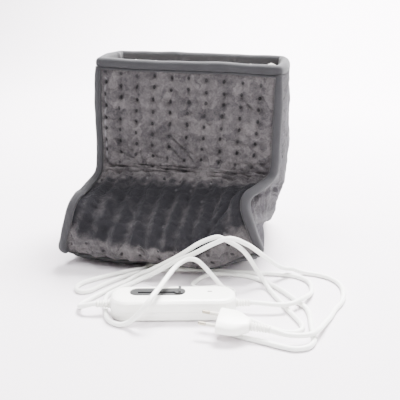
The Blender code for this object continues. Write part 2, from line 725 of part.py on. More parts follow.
def sole_panel(name):
    obj = sole_layer(name, 1, 0, SOLE_THICKNESS, 12, 12)
    hole = cutter(name + "_hole", cylinder(GLAND_RADIUS + FIT_GAP, 2 * GLAND_LENGTH, (0, 0, 0)))
    hole.location = (GLAND_X, GLAND_DEPTH_SHARE * HALF_DEPTH, GLAND_Z)
    hole.rotation_euler = (GLAND_TILT - math.pi / 2, 0, GLAND_YAW)
    boolean(obj, hole)
    return obj


def gland(name):
    """The sleeve that carries the cord through the sole."""
    bore = CORD_RADIUS + FIT_GAP
    half = GLAND_LENGTH / 2
    obj = turned(name, [(bore, half), (GLAND_RADIUS, half), (GLAND_RADIUS, -half), (bore, -half)])
    obj.location = (GLAND_X, GLAND_DEPTH_SHARE * HALF_DEPTH, GLAND_Z)
    obj.rotation_euler = (GLAND_TILT - math.pi / 2, 0, GLAND_YAW)
    return obj


def heating_wire(name):
    """One long wire: a lead along the toe to each end, and runs from toe to heel between them."""
    lift = felt_top() + HEATER_GAP + WIRE_RADIUS
    pitch = 2 * WIRE_REACH_SHARE / (WIRE_RUNS - 1)
    front, heel = 0.5 - WIRE_REACH_SHARE / 2, 0.5 + WIRE_REACH_SHARE / 2
    points = [(-WIRE_REACH_SHARE / 2, WIRE_LEAD_SHARE)]
    points.append((-WIRE_REACH_SHARE + pitch / 4, WIRE_LEAD_SHARE))
    for run in range(WIRE_RUNS):
        across = pitch * run - WIRE_REACH_SHARE
        start, end = (front, heel) if run % 2 == 0 else (heel, front)
        points += [(across, start), (across, end)]
        way = math.copysign(WIRE_TURN_SHARE, end - start)
        if run == WIRE_RUNS - 1:
            break
        for angle in (math.pi / 4, math.pi / 2, 3 * math.pi / 4):
            points.append((across + pitch / 2 * (1 - math.cos(angle)), end + way * math.sin(angle)))
    points += [(WIRE_REACH_SHARE - pitch / 4, WIRE_LEAD_SHARE), (WIRE_REACH_SHARE / 2, WIRE_LEAD_SHARE)]
    places = [sole_place(a, b, lift) for a, b in points]
    stop = SPLICE_RADIUS + WIRE_RADIUS + HEATER_GAP
    for side in (-1, 1):
        across = SPLICE_X / HALF_WIDTH + side * pitch / 4
        end = np.array((SPLICE_X + side * stop, SPLICE_DEPTH_SHARE * HALF_DEPTH, SPLICE_Z))
        lead = [sole_place(across, share, lift) for share in (WIRE_EDGE_SHARE, WIRE_LEAD_SHARE)]
        places = [end, *lead] + places if side < 0 else places + [*lead[::-1], end]
    return tube(name, places, WIRE_RADIUS, resolution=1)


def felt_top():
    return SOLE_THICKNESS + WADDING_THICKNESS + FELT_THICKNESS + 2 * HEATER_GAP


def lying_cylinder(name, radius, length, across, back):
    """A small sealed cylinder lying on the felt along Y, between two runs of the wire."""
    place = sole_place(across, back, felt_top() + HEATER_GAP + radius)
    return mesh_object(name, cylinder(radius, length, place, "Y", sides=12))


def turned(name, profile, sides=12):
    """A profile of radius and height, turned about Z. It is a closed ring where it leaves the axis free."""
    bm = bmesh.new()
    verts = [bm.verts.new((radius, 0, height)) for radius, height in profile]
    pairs = list(zip(verts, verts[1:]))
    if profile[0][0] > 0:
        pairs.append((verts[-1], verts[0]))
    for pair in pairs:
        bm.edges.new(pair)
    mesh = bpy.data.meshes.new(name)
    bm.to_mesh(mesh)
    bm.free()
    obj = bpy.data.objects.new(name, mesh)
    screw = obj.modifiers.new("turn", "SCREW")
    screw.axis = "Z"
    screw.steps = sides
    screw.render_steps = sides
    screw.use_merge_vertices = True
    screw.merge_threshold = 0.00001
    screw.use_smooth_shade = True
    return obj


def ribbed_sleeve(name, length, root, neck_radius, neck, collar):
    """A strain relief standing on its wall: ribs that shrink along the cord, and a neck through the wall."""
    bore = CORD_RADIUS + FIT_GAP
    foot = FIT_GAP + RELIEF_FLANGE
    profile = [(bore, length), (RELIEF_TIP_RADIUS, length)]
    steps = 2 * RELIEF_RIBS
    for k in range(1, steps):
        radius = RELIEF_TIP_RADIUS + (root - RELIEF_TIP_RADIUS) * k / steps
        groove = RELIEF_RIB_DEPTH if k % 2 else 0
        profile.append((radius - groove, length + (foot - length) * k / steps))
    profile += [(root, foot), (root + RELIEF_FLANGE, foot), (root + RELIEF_FLANGE, FIT_GAP)]
    profile += [(neck_radius, FIT_GAP), (neck_radius, -neck)]
    end = -neck
    if collar:
        end -= RELIEF_COLLAR
        profile += [(neck_radius + RELIEF_FLANGE, -neck), (neck_radius + RELIEF_FLANGE, end)]
    profile.append((bore, end))
    return turned(name, profile)


def case_form(inner, low, high):
    """The case's rounded bar, drawn in by a wall's thickness for its hollow."""
    size = (CASE_LENGTH - 2 * inner, CASE_WIDTH - 2 * inner, high - low)
    bm = box(size, (0, 0, (low + high) / 2))
    upright = [e for e in bm.edges if abs(e.verts[0].co.z - e.verts[1].co.z) > size[2] / 2]
    bmesh.ops.bevel(bm, geom=upright, offset=CASE_CORNER - inner, segments=5, affect="EDGES", profile=0.5)
    for level, offset, segments in ((high, CASE_TOP_ROUND - inner, 3), (low, CASE_BOTTOM_ROUND - inner, 1)):
        rim = [e for e in bm.edges if all(abs(v.co.z - level) < FIT_GAP for v in e.verts)]
        bmesh.ops.bevel(bm, geom=rim, offset=offset, segments=segments, affect="EDGES", profile=0.5)
    return bm


def joined(shapes):
    """Several separate shapes as one mesh."""
    bm = bmesh.new()
    for shape in shapes:
        mesh = bpy.data.meshes.new("joined")
        shape.to_mesh(mesh)
        shape.free()
        bm.from_mesh(mesh)
        bpy.data.meshes.remove(mesh)
    return bm


def posts(radius, low, high, places):
    return [cylinder(radius, high - low, (x, y, (low + high) / 2), sides=10) for x, y in places]


def corner_places():
    return [(x, y) for x in (-BOSS_X, BOSS_X) for y in (-BOSS_Y, BOSS_Y)]


def half_case(name, low, high, frame):
    """The rounded bar between two heights, hollowed out."""
    obj = mesh_object(name, case_form(0, 0, CASE_HEIGHT))
    size = (CASE_LENGTH + OVERRUN, CASE_WIDTH + OVERRUN, high - low)
    boolean(obj, cutter(name + "_half", box(size, (0, 0, (low + high) / 2)), frame), "INTERSECT")
    boolean(obj, cutter(name + "_hollow", case_form(CASE_WALL, CASE_WALL, CASE_HEIGHT - CASE_WALL), frame))
    return obj


def cut_ports(obj, frame):
    """Half of the round hole at each end, where the strain reliefs sit."""
    ports = [
        cylinder(RELIEF_ROOT_RADIUS + FIT_GAP, CASE_CORNER, (x, 0, PORT_HEIGHT), "X", sides=16)
        for x in (-CASE_LENGTH / 2, CASE_LENGTH / 2)
    ]
    boolean(obj, cutter(obj.name + "_ports", joined(ports), frame))


def top_shell(name, frame):
    low = CASE_PARTING + FIT_GAP / 2
    obj = half_case(name, low, CASE_HEIGHT + OVERRUN, frame)
    roof = CASE_HEIGHT - CASE_WALL
    bosses = posts(BOSS_RADIUS, low, roof + BOSS_BITE, corner_places())
    boolean(obj, cutter(name + "_bosses", joined(bosses), frame), "UNION")
    point = SCREW_LOW + SCREW_HEAD_HEIGHT + SCREW_LENGTH + FIT_GAP
    pilots = posts(SCREW_RADIUS + FIT_GAP, 0, point, corner_places())
    boolean(obj, cutter(name + "_pilots", joined(pilots), frame))
    cut_ports(obj, frame)
    gap = 2 * FIT_GAP
    window = pill(
        TRACK_LENGTH + gap, TRACK_WIDTH + gap, roof - OVERRUN, CASE_HEIGHT + OVERRUN, (TRACK_X, TRACK_Y)
    )
    lens = pill(
        LENS_LENGTH + gap, LENS_WIDTH + gap, roof - OVERRUN, CASE_HEIGHT + OVERRUN, (LENS_X, LENS_Y), segments=3
    )
    boolean(obj, cutter(name + "_windows", joined([window, lens]), frame))
    return obj


def bottom_shell(name, frame):
    high = CASE_PARTING - FIT_GAP / 2
    low = CASE_WALL - BOSS_BITE
    obj = half_case(name, -OVERRUN, high, frame)
    inside = posts(BOSS_RADIUS, low, high, corner_places())
    board_x = BOARD_LENGTH * POST_SHARE
    inside += posts(POST_RADIUS, low, BOARD_HEIGHT - FIT_GAP, [(-board_x, 0), (board_x, 0)])
    rest = CLAMP_LOW - FIT_GAP
    inside += [
        box((CLAMP_LENGTH, CLAMP_WIDTH, rest - low), (x, 0, (rest + low) / 2)) for x in (-CLAMP_X, CLAMP_X)
    ]
    boolean(obj, cutter(name + "_bosses", joined(inside), frame), "UNION")
    sink = SCREW_LOW + SCREW_HEAD_HEIGHT + FIT_GAP
    counterbores = posts(SCREW_HEAD_RADIUS + FIT_GAP, -OVERRUN, sink, corner_places())
    boolean(obj, cutter(name + "_counterbores", joined(counterbores), frame))
    pilots = posts(SCREW_RADIUS + FIT_GAP, sink - FIT_GAP, CASE_HEIGHT, corner_places())
    boolean(obj, cutter(name + "_pilots", joined(pilots), frame))
    cut_ports(obj, frame)
    return obj


def slider_track(name, frame):
    """The dark plate in the case's long window, with the slot that the knob's stem runs in."""
    high = CASE_HEIGHT - TRACK_SINK
    low = high - TRACK_THICKNESS
    obj = mesh_object(name, pill(TRACK_LENGTH, TRACK_WIDTH, low, high, (TRACK_X, TRACK_Y)))
    size = (SLIDE_TRAVEL + STEM_LENGTH + 2 * OVERRUN, SLOT_WIDTH, TRACK_THICKNESS + 2 * OVERRUN)
    slot = box(size, (KNOB_X - SLIDE_TRAVEL / 2, TRACK_Y, (low + high) / 2))
    boolean(obj, cutter(name + "_slot", slot, frame))
    return obj


def slider_knob(name, frame):
    """The knob's round foot, its cross ridge and the stem that reaches down to the switch."""
    foot = CASE_HEIGHT - TRACK_SINK + FIT_GAP
    obj = mesh_object(name, cylinder(KNOB_RADIUS, KNOB_THICKNESS, (0, 0, foot + KNOB_THICKNESS / 2)))
    low, high = carriage_floor() + CARRIAGE_HEIGHT + FIT_GAP, foot + BOSS_BITE
    ridge = box((FIN_LENGTH, FIN_WIDTH, FIN_HEIGHT), (0, 0, foot + (BOSS_BITE + FIN_HEIGHT) / 2))
    stem = box((STEM_LENGTH, STEM_WIDTH, high - low), (0, 0, (low + high) / 2))
    for label, bm in (("_ridge", ridge), ("_stem", stem)):
        shape = cutter(name + label, bm, frame)
        shape.location = (KNOB_X, TRACK_Y, 0)
        boolean(obj, shape, "UNION")
    obj.location = (KNOB_X, TRACK_Y, 0)
    return obj


def board_top():
    return BOARD_HEIGHT + BOARD_THICKNESS + FIT_GAP


def carriage_floor():
    return board_top() + SWITCH_WALL + FIT_GAP


def slide_switch(name, frame):
    """The switch under the track: a bar with a channel for the carriage, open at its top."""
    low = board_top()
    middle = KNOB_X - SLIDE_TRAVEL / 2
    channel = SLIDE_TRAVEL + CARRIAGE_LENGTH + 2 * OVERRUN
    size = (channel + 2 * SWITCH_WALL, SWITCH_WIDTH, SWITCH_HEIGHT)
    obj = mesh_object(name, box(size, (middle, TRACK_Y, low + SWITCH_HEIGHT / 2)))
    cut = box((channel, CHANNEL_WIDTH, SWITCH_HEIGHT), (middle, TRACK_Y, low + SWITCH_WALL + SWITCH_HEIGHT / 2))
    boolean(obj, cutter(name + "_channel", cut, frame))
    return obj


def slider_carriage(name):
    size = (CARRIAGE_LENGTH, CHANNEL_WIDTH - 2 * FIT_GAP, CARRIAGE_HEIGHT)
    obj = mesh_object(name, box(size, (0, 0, carriage_floor() + CARRIAGE_HEIGHT / 2)))
    obj.location = (KNOB_X, TRACK_Y, 0)
    return obj


def cord_clamp(name, x, frame):
    """A block round the cord inside one end of the case."""
    size = (CLAMP_LENGTH, CLAMP_WIDTH, CLAMP_HEIGHT)
    obj = mesh_object(name, box(size, (x, 0, CLAMP_LOW + CLAMP_HEIGHT / 2)))
    hole = cylinder(CORD_RADIUS + FIT_GAP, 2 * CLAMP_LENGTH, (x, 0, PORT_HEIGHT), "X", sides=12)
    boolean(obj, cutter(name + "_hole", hole, frame))
    return obj


def screw(name, x, y):
    """A pan-headed screw, head down."""
    top = SCREW_LOW + SCREW_HEAD_HEIGHT
    point = top + SCREW_LENGTH
    profile = [
        (0, point),
        (SCREW_RADIUS, point - SCREW_RADIUS),
        (SCREW_RADIUS, top),
        (SCREW_HEAD_RADIUS, top),
        (SCREW_HEAD_RADIUS, SCREW_LOW),
        (0, SCREW_LOW),
    ]
    obj = turned(name, profile, sides=10)
    obj.location = (x, y, 0)
    return obj


def standing_box(name, size, place):
    """A component that stands on the board."""
    return mesh_object(name, box(size, (*place, board_top() + size[2] / 2)))


def loft(name, rings):
    """A closed solid through rings that have the same count of places."""
    bm = bmesh.new()
    made = [[bm.verts.new(place) for place in ring] for ring in rings]
    for near, far in zip(made, made[1:]):
        for i in range(len(near)):
            j = (i + 1) % len(near)
            bm.faces.new((near[i], near[j], far[j], far[i]))
    bm.faces.new(made[0])
    bm.faces.new(made[-1])
    return mesh_object(name, bm)


def plug_section(x, wide_share, thick_share):
    """One section of the plug: a flat six-sided bar whose two outer points are cut short."""
    y, z = PLUG_WIDTH / 2 * wide_share, PLUG_THICKNESS / 2 * thick_share
    tip = z - PLUG_CHAMFER * PLUG_TIP_SHARE * thick_share
    flat = y - PLUG_CHAMFER * wide_share
    half = [(y, -tip), (y, tip), (flat, z)]
    return [(x, a, b) for a, b in half + [(-a, b) for a, b in half[::-1]] + [(-flat, -z), (flat, -z)]]


def plug_body(name, frame):
    """The flat plug: a straight front, then hollow shoulders down to the cord."""
    rings = [plug_section(PLUG_LENGTH * along, wide, thick) for along, wide, thick in PLUG_SHAPE_SHARES]
    obj = loft(name, rings)
    holes = [
        cylinder(PIN_RADIUS - SLEEVE_WALL, 2 * (PIN_ROOT + FIT_GAP), (0, y, 0), "X", sides=12)
        for y in (-PIN_SPACING / 2, PIN_SPACING / 2)
    ]
    depth = PLUG_CORD_DEPTH + FIT_GAP
    holes.append(cylinder(PLUG_NECK_RADIUS + FIT_GAP, 2 * depth, (PLUG_LENGTH, 0, 0), "X", sides=16))
    boolean(obj, cutter(name + "_holes", joined(holes), frame))
    return obj


def plug_pin(name):
    """A contact pin: a thin neck in the body and in its sleeve, and a thick bare end."""
    neck = PIN_RADIUS - SLEEVE_WALL - FIT_GAP
    shoulder = SLEEVE_LENGTH + 2 * FIT_GAP
    profile = [
        (0, PIN_LENGTH),
        (neck, PIN_LENGTH),
        (PIN_RADIUS, PIN_LENGTH - PIN_RADIUS + neck),
        (PIN_RADIUS, shoulder),
        (neck, shoulder),
        (neck, -PIN_ROOT),
        (0, -PIN_ROOT),
    ]
    return turned(name, profile)


def pin_sleeve(name):
    inner = PIN_RADIUS - SLEEVE_WALL
    top = SLEEVE_LENGTH + FIT_GAP
    return turned(name, [(inner, top), (PIN_RADIUS, top), (PIN_RADIUS, FIT_GAP), (inner, FIT_GAP)])


def placed(origin, turn, point):
    """A point of a turned frame, as a place in the part."""
    return np.array(origin) + np.array(Euler(turn).to_matrix() @ Vector(point))


def smooth_route(points):
    """A smooth line through places, finely divided, that follows straight stretches exactly."""
    points = np.array(points)
    knots = np.concatenate([[0], np.cumsum(np.linalg.norm(np.diff(points, axis=0), axis=1) ** 0.5)])
    slopes = np.gradient(points, knots, axis=0)
    line = []
    for i in range(len(points) - 1):
        step = knots[i + 1] - knots[i]
        for k in range(16):
            u = k / 16
            line.append(
                (2 * u**3 - 3 * u**2 + 1) * points[i]
                + (u**3 - 2 * u**2 + u) * step * slopes[i]
                + (3 * u**2 - 2 * u**3) * points[i + 1]
                + (u**3 - u**2) * step * slopes[i + 1]
            )
    return np.array([*line, points[-1]])


def even_places(line, spacing):
    """Places at even distances along a line, with both its ends."""
    along = np.concatenate([[0], np.cumsum(np.linalg.norm(np.diff(line, axis=0), axis=1))])
    stops = np.linspace(0, along[-1], round(along[-1] / spacing) + 1)
    return np.stack([np.interp(stops, along, line[:, k]) for k in range(3)], axis=1)


def cord_places(first, route, last):
    """A cord's places. The first and last three lie on the axes of the sleeves, and the route between them."""
    line = smooth_route([first[1], first[2], *route, last[0], last[1]])
    line[:, 2] = np.maximum(line[:, 2], CORD_RADIUS)
    return np.array([first[0], *even_places(line, CORD_STEP), last[2]])


def least_gap(places, others=None):
    """The least free distance between two strands, of one cord or of two."""
    near = even_places(places, CORD_RADIUS)
    far = near if others is None else even_places(others, CORD_RADIUS)
    apart = np.linalg.norm(near[:, None] - far[None], axis=2)
    if others is None:
        order = np.arange(len(near))
        apart[abs(order[:, None] - order[None]) < 10] = 1
    return apart.min() - 2 * CORD_RADIUS


def cut_cord(names, shares, places):
    """The cord's stretches as separate solids that almost touch end to end, cut where the cord is straight."""
    stops = [round(share * (len(places) - 1)) for share in shares]
    for name, start, stop in zip(names, stops, stops[1:]):
        stretch = places[start : stop + 1].copy()
        for end, inner in ((0, 1), (-1, -2)):
            way = stretch[inner] - stretch[end]
            stretch[end] += way / np.linalg.norm(way) * SEAM_GAP / 2
        add(tube(name, stretch, CORD_RADIUS), WHITE_PLASTIC, 0.5)


def make_cords():
    case = ((CASE_X, CASE_Y, 0), (0, 0, CASE_YAW))
    tip = CASE_LENGTH / 2 + RELIEF_LENGTH
    ends = (CORD_END_X, tip, tip + CORD_LEAD)
    left, right = ([placed(*case, (way * x, 0, PORT_HEIGHT)) for x in ends] for way in (-1, 1))
    plug = ((PLUG_X, PLUG_Y, PLUG_Z), (PLUG_ROLL, PLUG_PITCH, PLUG_YAW))
    tip = PLUG_LENGTH + PLUG_RELIEF_LENGTH
    root = PLUG_LENGTH - PLUG_CORD_DEPTH
    plug_end = [placed(*plug, (x, 0, 0)) for x in (root, tip, tip + CORD_LEAD)]
    gland_place = (GLAND_X, GLAND_DEPTH_SHARE * HALF_DEPTH, GLAND_Z)
    gland_frame = (gland_place, (GLAND_TILT - math.pi / 2, 0, GLAND_YAW))
    half = GLAND_LENGTH / 2
    boot_end = [placed(*gland_frame, (0, 0, x)) for x in (half + HEATER_CORD_REACH, -half, -half - CORD_LEAD)]
    mains = cord_places(plug_end, MAINS_OUTER_ROUTE + MAINS_MIDDLE_ROUTE + MAINS_INNER_ROUTE, left[::-1])
    heater = cord_places(right, HEATER_ROUTE, boot_end[::-1])
    names = ["mains_cord_outer_loops", "mains_cord_middle_loops", "mains_cord_inner_loops"]
    cut_cord(names, MAINS_CUT_SHARES, mains)
    cut_cord(["heater_cord"], (0, 1), heater)
    print("least cord gaps:", least_gap(mains), least_gap(heater), least_gap(mains, heater))


def frame_empty(name, place, turn):
    empty = bpy.data.objects.new(name, None)
    PARTS.objects.link(empty)
    empty.location = place
    empty.rotation_euler = turn
    return empty


def make_boot():
    ankle = ANKLE_SHARE * ROWS
    gap = SEAM_GAP / np.linalg.norm(seam(MIDDLE_SHARES, 4) - seam(MIDDLE_SHARES, 3))
    add(front_panel("front_panel", 0, ankle - gap, SHAFT_ROWS))
    add(front_panel("instep_panel", ankle + gap, ROWS, FOOT_ROWS))
    add(side_panel("side_panel_left", -1, 6))
    add(side_panel("side_panel_right", 1, 6))
    add(back_panel("back_panel", 10))
    add(sole_panel("sole_panel"), DARK_CLOTH)
    add(rim_binding("rim_binding"), GREY_TAPE)
    add(seam_binding("front_binding_left", LEFT_SEAM_SHARES), GREY_TAPE)
    add(seam_binding("front_binding_right", RIGHT_SEAM_SHARES), GREY_TAPE)
    add(seam_binding("back_binding_left", HEEL_LEFT_SHARES), GREY_TAPE)
    add(seam_binding("back_binding_right", HEEL_RIGHT_SHARES), GREY_TAPE)
    add(teddy_lining("teddy_lining"), OFF_WHITE)


def make_heater():
    low = SOLE_THICKNESS + HEATER_GAP
    high = low + WADDING_THICKNESS
    add(sole_layer("insole_wadding", HEATER_REACH_SHARE, low, high, 6, 12), OFF_WHITE)
    low = high + HEATER_GAP
    add(sole_layer("heater_felt", HEATER_REACH_SHARE, low, felt_top(), 6, 12), OFF_WHITE)
    add(heating_wire("heating_wire"), AMBER, 0.4)
    pitch = 2 * WIRE_REACH_SHARE / (WIRE_RUNS - 1)
    for number, across in ((1, -2 * pitch), (2, 2 * pitch)):
        name = "thermal_cutout_" + str(number)
        cutout = lying_cylinder(name, CUTOUT_RADIUS, CUTOUT_LENGTH, across, CUTOUT_BACK_SHARE)
        add(cutout, METAL, 0.3, 1.0)
    splice_place = (SPLICE_X, SPLICE_DEPTH_SHARE * HALF_DEPTH, SPLICE_Z)
    splice = cylinder(SPLICE_RADIUS, SPLICE_LENGTH, splice_place, "Y", sides=12)
    add(mesh_object("heater_splice", splice), WHITE_PLASTIC, 0.5)
    add(gland("boot_cord_gland"), WHITE_PLASTIC, 0.5)


def make_controller():
    frame = frame_empty("controller_frame", (CASE_X, CASE_Y, 0), (0, 0, CASE_YAW))
    add(top_shell("controller_top_shell", frame), WHITE_PLASTIC, 0.45, parent=frame)
    add(bottom_shell("controller_bottom_shell", frame), WHITE_PLASTIC, 0.45, parent=frame)
    add(slider_track("slider_track", frame), DARK_PLASTIC, 0.5, parent=frame)
    add(slider_knob("slider_knob", frame), DARK_PLASTIC, 0.5, parent=frame)
    add(slider_carriage("slider_carriage"), WHITE_PLASTIC, 0.5, parent=frame)
    add(slide_switch("slide_switch", frame), DARK_PLASTIC, 0.5, parent=frame)
    board = box((BOARD_LENGTH, BOARD_WIDTH, BOARD_THICKNESS), (0, 0, BOARD_HEIGHT + BOARD_THICKNESS / 2))
    add(mesh_object("circuit_board", board), GREEN_BOARD, 0.5, parent=frame)
    add(standing_box("capacitor", CAPACITOR_SIZE, CAPACITOR_PLACE), AMBER, 0.5, parent=frame)
    add(standing_box("triac", TRIAC_SIZE, TRIAC_PLACE), DARK_PLASTIC, 0.5, parent=frame)
    lens_low = CASE_HEIGHT - CASE_WALL
    led = posts(LED_RADIUS, board_top(), lens_low - LED_GAP, [(LENS_X, LENS_Y)])[0]
    add(mesh_object("indicator_led", led), AMBER, 0.2, parent=frame)
    lens = pill(LENS_LENGTH, LENS_WIDTH, lens_low, CASE_HEIGHT + LENS_PROUD, (LENS_X, LENS_Y), segments=3)
    add(mesh_object("indicator_lens", lens), OFF_WHITE, 0.2, parent=frame)
    for number, (x, y) in enumerate(corner_places(), 1):
        add(screw("controller_screw_" + str(number), x, y), METAL, 0.3, 1.0, parent=frame)
    for side, way in (("left", -1), ("right", 1)):
        add(cord_clamp("cord_clamp_" + side, way * CLAMP_X, frame), WHITE_PLASTIC, 0.5, parent=frame)
        neck = CASE_WALL + 2 * FIT_GAP
        sleeve = ribbed_sleeve(
            "strain_relief_" + side, RELIEF_LENGTH, RELIEF_ROOT_RADIUS, RELIEF_ROOT_RADIUS, neck, True
        )
        sleeve.location = (way * CASE_LENGTH / 2, 0, PORT_HEIGHT)
        sleeve.rotation_euler = (0, way * math.pi / 2, 0)
        add(sleeve, WHITE_PLASTIC, 0.5, parent=frame)


def make_plug():
    frame = frame_empty("plug_frame", (PLUG_X, PLUG_Y, PLUG_Z), (PLUG_ROLL, PLUG_PITCH, PLUG_YAW))
    add(plug_body("plug_body", frame), WHITE_PLASTIC, 0.45, parent=frame)
    for number, y in ((1, -PIN_SPACING / 2), (2, PIN_SPACING / 2)):
        pin = plug_pin("plug_pin_" + str(number))
        sleeve = pin_sleeve("plug_pin_sleeve_" + str(number))
        for piece in (pin, sleeve):
            piece.location = (0, y, 0)
            piece.rotation_euler = (0, -math.pi / 2, 0)
        add(pin, METAL, 0.25, 1.0, parent=frame)
        add(sleeve, DARK_PLASTIC, 0.5, parent=frame)
    sleeve = ribbed_sleeve(
        "plug_strain_relief", PLUG_RELIEF_LENGTH, PLUG_RELIEF_ROOT_RADIUS, PLUG_NECK_RADIUS, PLUG_NECK_LENGTH, False
    )
    sleeve.location = (PLUG_LENGTH, 0, 0)
    sleeve.rotation_euler = (0, math.pi / 2, 0)
    add(sleeve, WHITE_PLASTIC, 0.5, parent=frame)


clear_scene()
PARTS = collection("electric_foot_warmer")
CUTTERS = collection("cutters", helper=True)
make_boot()
make_heater()
make_controller()
make_plug()
make_cords()
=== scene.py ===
import math

import bmesh
import bpy
import numpy as np
from mathutils import Euler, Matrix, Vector, noise


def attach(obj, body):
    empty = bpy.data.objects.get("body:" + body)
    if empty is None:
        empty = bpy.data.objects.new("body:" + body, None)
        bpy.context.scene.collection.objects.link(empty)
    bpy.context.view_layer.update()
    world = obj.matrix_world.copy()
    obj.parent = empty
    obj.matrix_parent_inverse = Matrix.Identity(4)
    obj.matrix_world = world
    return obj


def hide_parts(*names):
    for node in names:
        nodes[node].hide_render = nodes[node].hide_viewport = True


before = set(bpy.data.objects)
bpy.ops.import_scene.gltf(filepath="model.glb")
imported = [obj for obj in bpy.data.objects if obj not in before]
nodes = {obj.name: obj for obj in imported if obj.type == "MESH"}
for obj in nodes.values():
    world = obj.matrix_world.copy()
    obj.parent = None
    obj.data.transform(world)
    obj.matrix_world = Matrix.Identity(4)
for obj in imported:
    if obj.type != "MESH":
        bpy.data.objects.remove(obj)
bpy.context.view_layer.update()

# The studio: a pale table that curves up into its backdrop. A soft light hangs above and behind the boot, weaker
# ones in front and at its right, a strong one on the backdrop, and a spot shines on the controller. The camera
# looks down on the toe from the front right, as in the photograph.
CAMERA_PLACE = (0.229, -0.774, 0.340)
CAMERA_PITCH = math.radians(18.9)
CAMERA_TURN = math.radians(15.0)
CAMERA_LENS = 54.0
TABLE_HALF_WIDTH = 4.0
TABLE_FRONT = -2.0
TABLE_BACK = 2.2
BACKDROP_HEIGHT = 3.0
BACKDROP_ROUND = 1.0
PAPER_LIT = (0.80, 0.79, 0.80, 1)
PAPER_SEEN = (0.70, 0.652, 0.688, 1)


def linked(name, data):
    obj = bpy.data.objects.new(name, data)
    bpy.context.scene.collection.objects.link(obj)
    return obj


def body_of(name, bm, sharp=None):
    """An object of a finished mesh, smooth but for the edges that are sharper than an angle in degrees."""
    mesh = bpy.data.meshes.new(name)
    bm.to_mesh(mesh)
    bm.free()
    mesh.shade_smooth()
    if sharp:
        mesh.set_sharp_from_angle(angle=math.radians(sharp))
    return linked(name, mesh)


def joined_node(tree, kind, inputs=(), **settings):
    """A shader node with its settings made and its inputs linked or set."""
    node = tree.nodes.new("ShaderNode" + kind)
    for key, value in settings.items():
        setattr(node, key, value)
    for key, value in inputs:
        if isinstance(value, bpy.types.NodeSocket):
            tree.links.new(value, node.inputs[key])
        else:
            node.inputs[key].default_value = value
    return node


def mixed(tree, factor, first, second):
    return joined_node(tree, "Mix", [(0, factor), (6, first), (7, second)], data_type="RGBA").outputs[2]


def new_material(name, constants):
    """A material, its node tree and its shader, with the given constants set."""
    made = bpy.data.materials.new(name)
    made.use_nodes = True
    shader = made.node_tree.nodes["Principled BSDF"]
    for label, value in constants.items():
        shader.inputs[label].default_value = value
    return made, made.node_tree, shader


def studio_table(name):
    profile = [(TABLE_FRONT, 0.0), (TABLE_BACK - BACKDROP_ROUND, 0.0)]
    for k in range(1, 13):
        angle = math.pi / 2 * k / 12
        y = TABLE_BACK - BACKDROP_ROUND * (1 - math.sin(angle))
        profile.append((y, BACKDROP_ROUND * (1 - math.cos(angle))))
    profile.append((TABLE_BACK, BACKDROP_HEIGHT))
    bm = bmesh.new()
    sides = [[bm.verts.new((x, y, z)) for y, z in profile] for x in (-TABLE_HALF_WIDTH, TABLE_HALF_WIDTH)]
    for i in range(len(profile) - 1):
        bm.faces.new((sides[0][i], sides[1][i], sides[1][i + 1], sides[0][i + 1]))
    table = body_of(name, bm)
    paper, tree, shader = new_material("studio_paper", {"Roughness": 1.0, "Specular IOR Level": 0.0})
    seen = joined_node(tree, "LightPath").outputs["Is Camera Ray"]
    tree.links.new(mixed(tree, seen, PAPER_LIT, PAPER_SEEN), shader.inputs["Base Color"])
    table.data.materials.append(paper)
    return table


def studio_light(name, kind, place, aim, power, **settings):
    lamp = bpy.data.lights.new(name, kind)
    lamp.energy = power
    for key, value in settings.items():
        setattr(lamp, key, value)
    light = linked(name, lamp)
    light.location = place
    light.rotation_euler = (Vector(aim) - Vector(place)).to_track_quat("-Z", "Y").to_euler()


studio_table("studio_table")
for name, place, aim, size, power in (
    ("overhead_softbox", (0.5, 0.75, 1.9), (0.05, -0.1, 0), 0.8, 112.0),
    ("front_softbox", (-0.45, -0.5, 2.0), (0, -0.05, 0.08), 0.6, 54.0),
    ("side_softbox", (1.6, -0.9, 1.1), (0.1, -0.1, 0.1), 0.7, 30.0),
    ("backdrop_softbox", (0.2, 1.2, 2.2), (0.1, 2.0, 0.3), 1.4, 600.0),
):
    studio_light(name, "AREA", place, aim, power, shape="DISK", size=size)
studio_light(
    "front_spot", "SPOT", (0.15, -1.0, 1.7), (0.055, -0.235, 0), 160.0,
    spot_size=math.radians(15.0), spot_blend=0.7, shadow_soft_size=0.18,
)
world = bpy.data.worlds.new("studio_air")
world.use_nodes = True
world.node_tree.nodes["Background"].inputs["Color"].default_value = (1.0, 0.985, 0.99, 1)
world.node_tree.nodes["Background"].inputs["Strength"].default_value = 0.24
bpy.context.scene.world = world
camera = linked("camera", bpy.data.cameras.new("camera"))
camera.data.lens = CAMERA_LENS
camera.data.sensor_width = 36.0
camera.location = CAMERA_PLACE
camera.rotation_euler = (math.pi / 2 - CAMERA_PITCH, 0, CAMERA_TURN)
bpy.context.scene.camera = camera

# The two cords: soft white plastic over two twisted cores, extruded in one length. The mains cord lies in loops
# from the plug, over the toe and over the controller. The heater cord leaves the controller's other end, goes
# under the toe, makes a loop on the left and enters the boot.
CORD_RADIUS = 0.0028
CORD_STEP = 0.0035
CASE_END = 0.070
CASE_MIDDLE = 0.0125
CASE_FRAME = (Vector((0.045, -0.203, 0)), Euler((0, 0, math.radians(15.9))))
PLUG_FRAME = (Vector((0.1035, -0.2335, 0.0170)), Euler((math.radians(10.0), math.radians(4.0), math.radians(1.5))))
GLAND_FRAME = (
    Vector((-0.016, -0.095, 0.0076)),
    Euler((math.radians(19.0) - math.pi / 2, 0, math.radians(-38.0))),
)
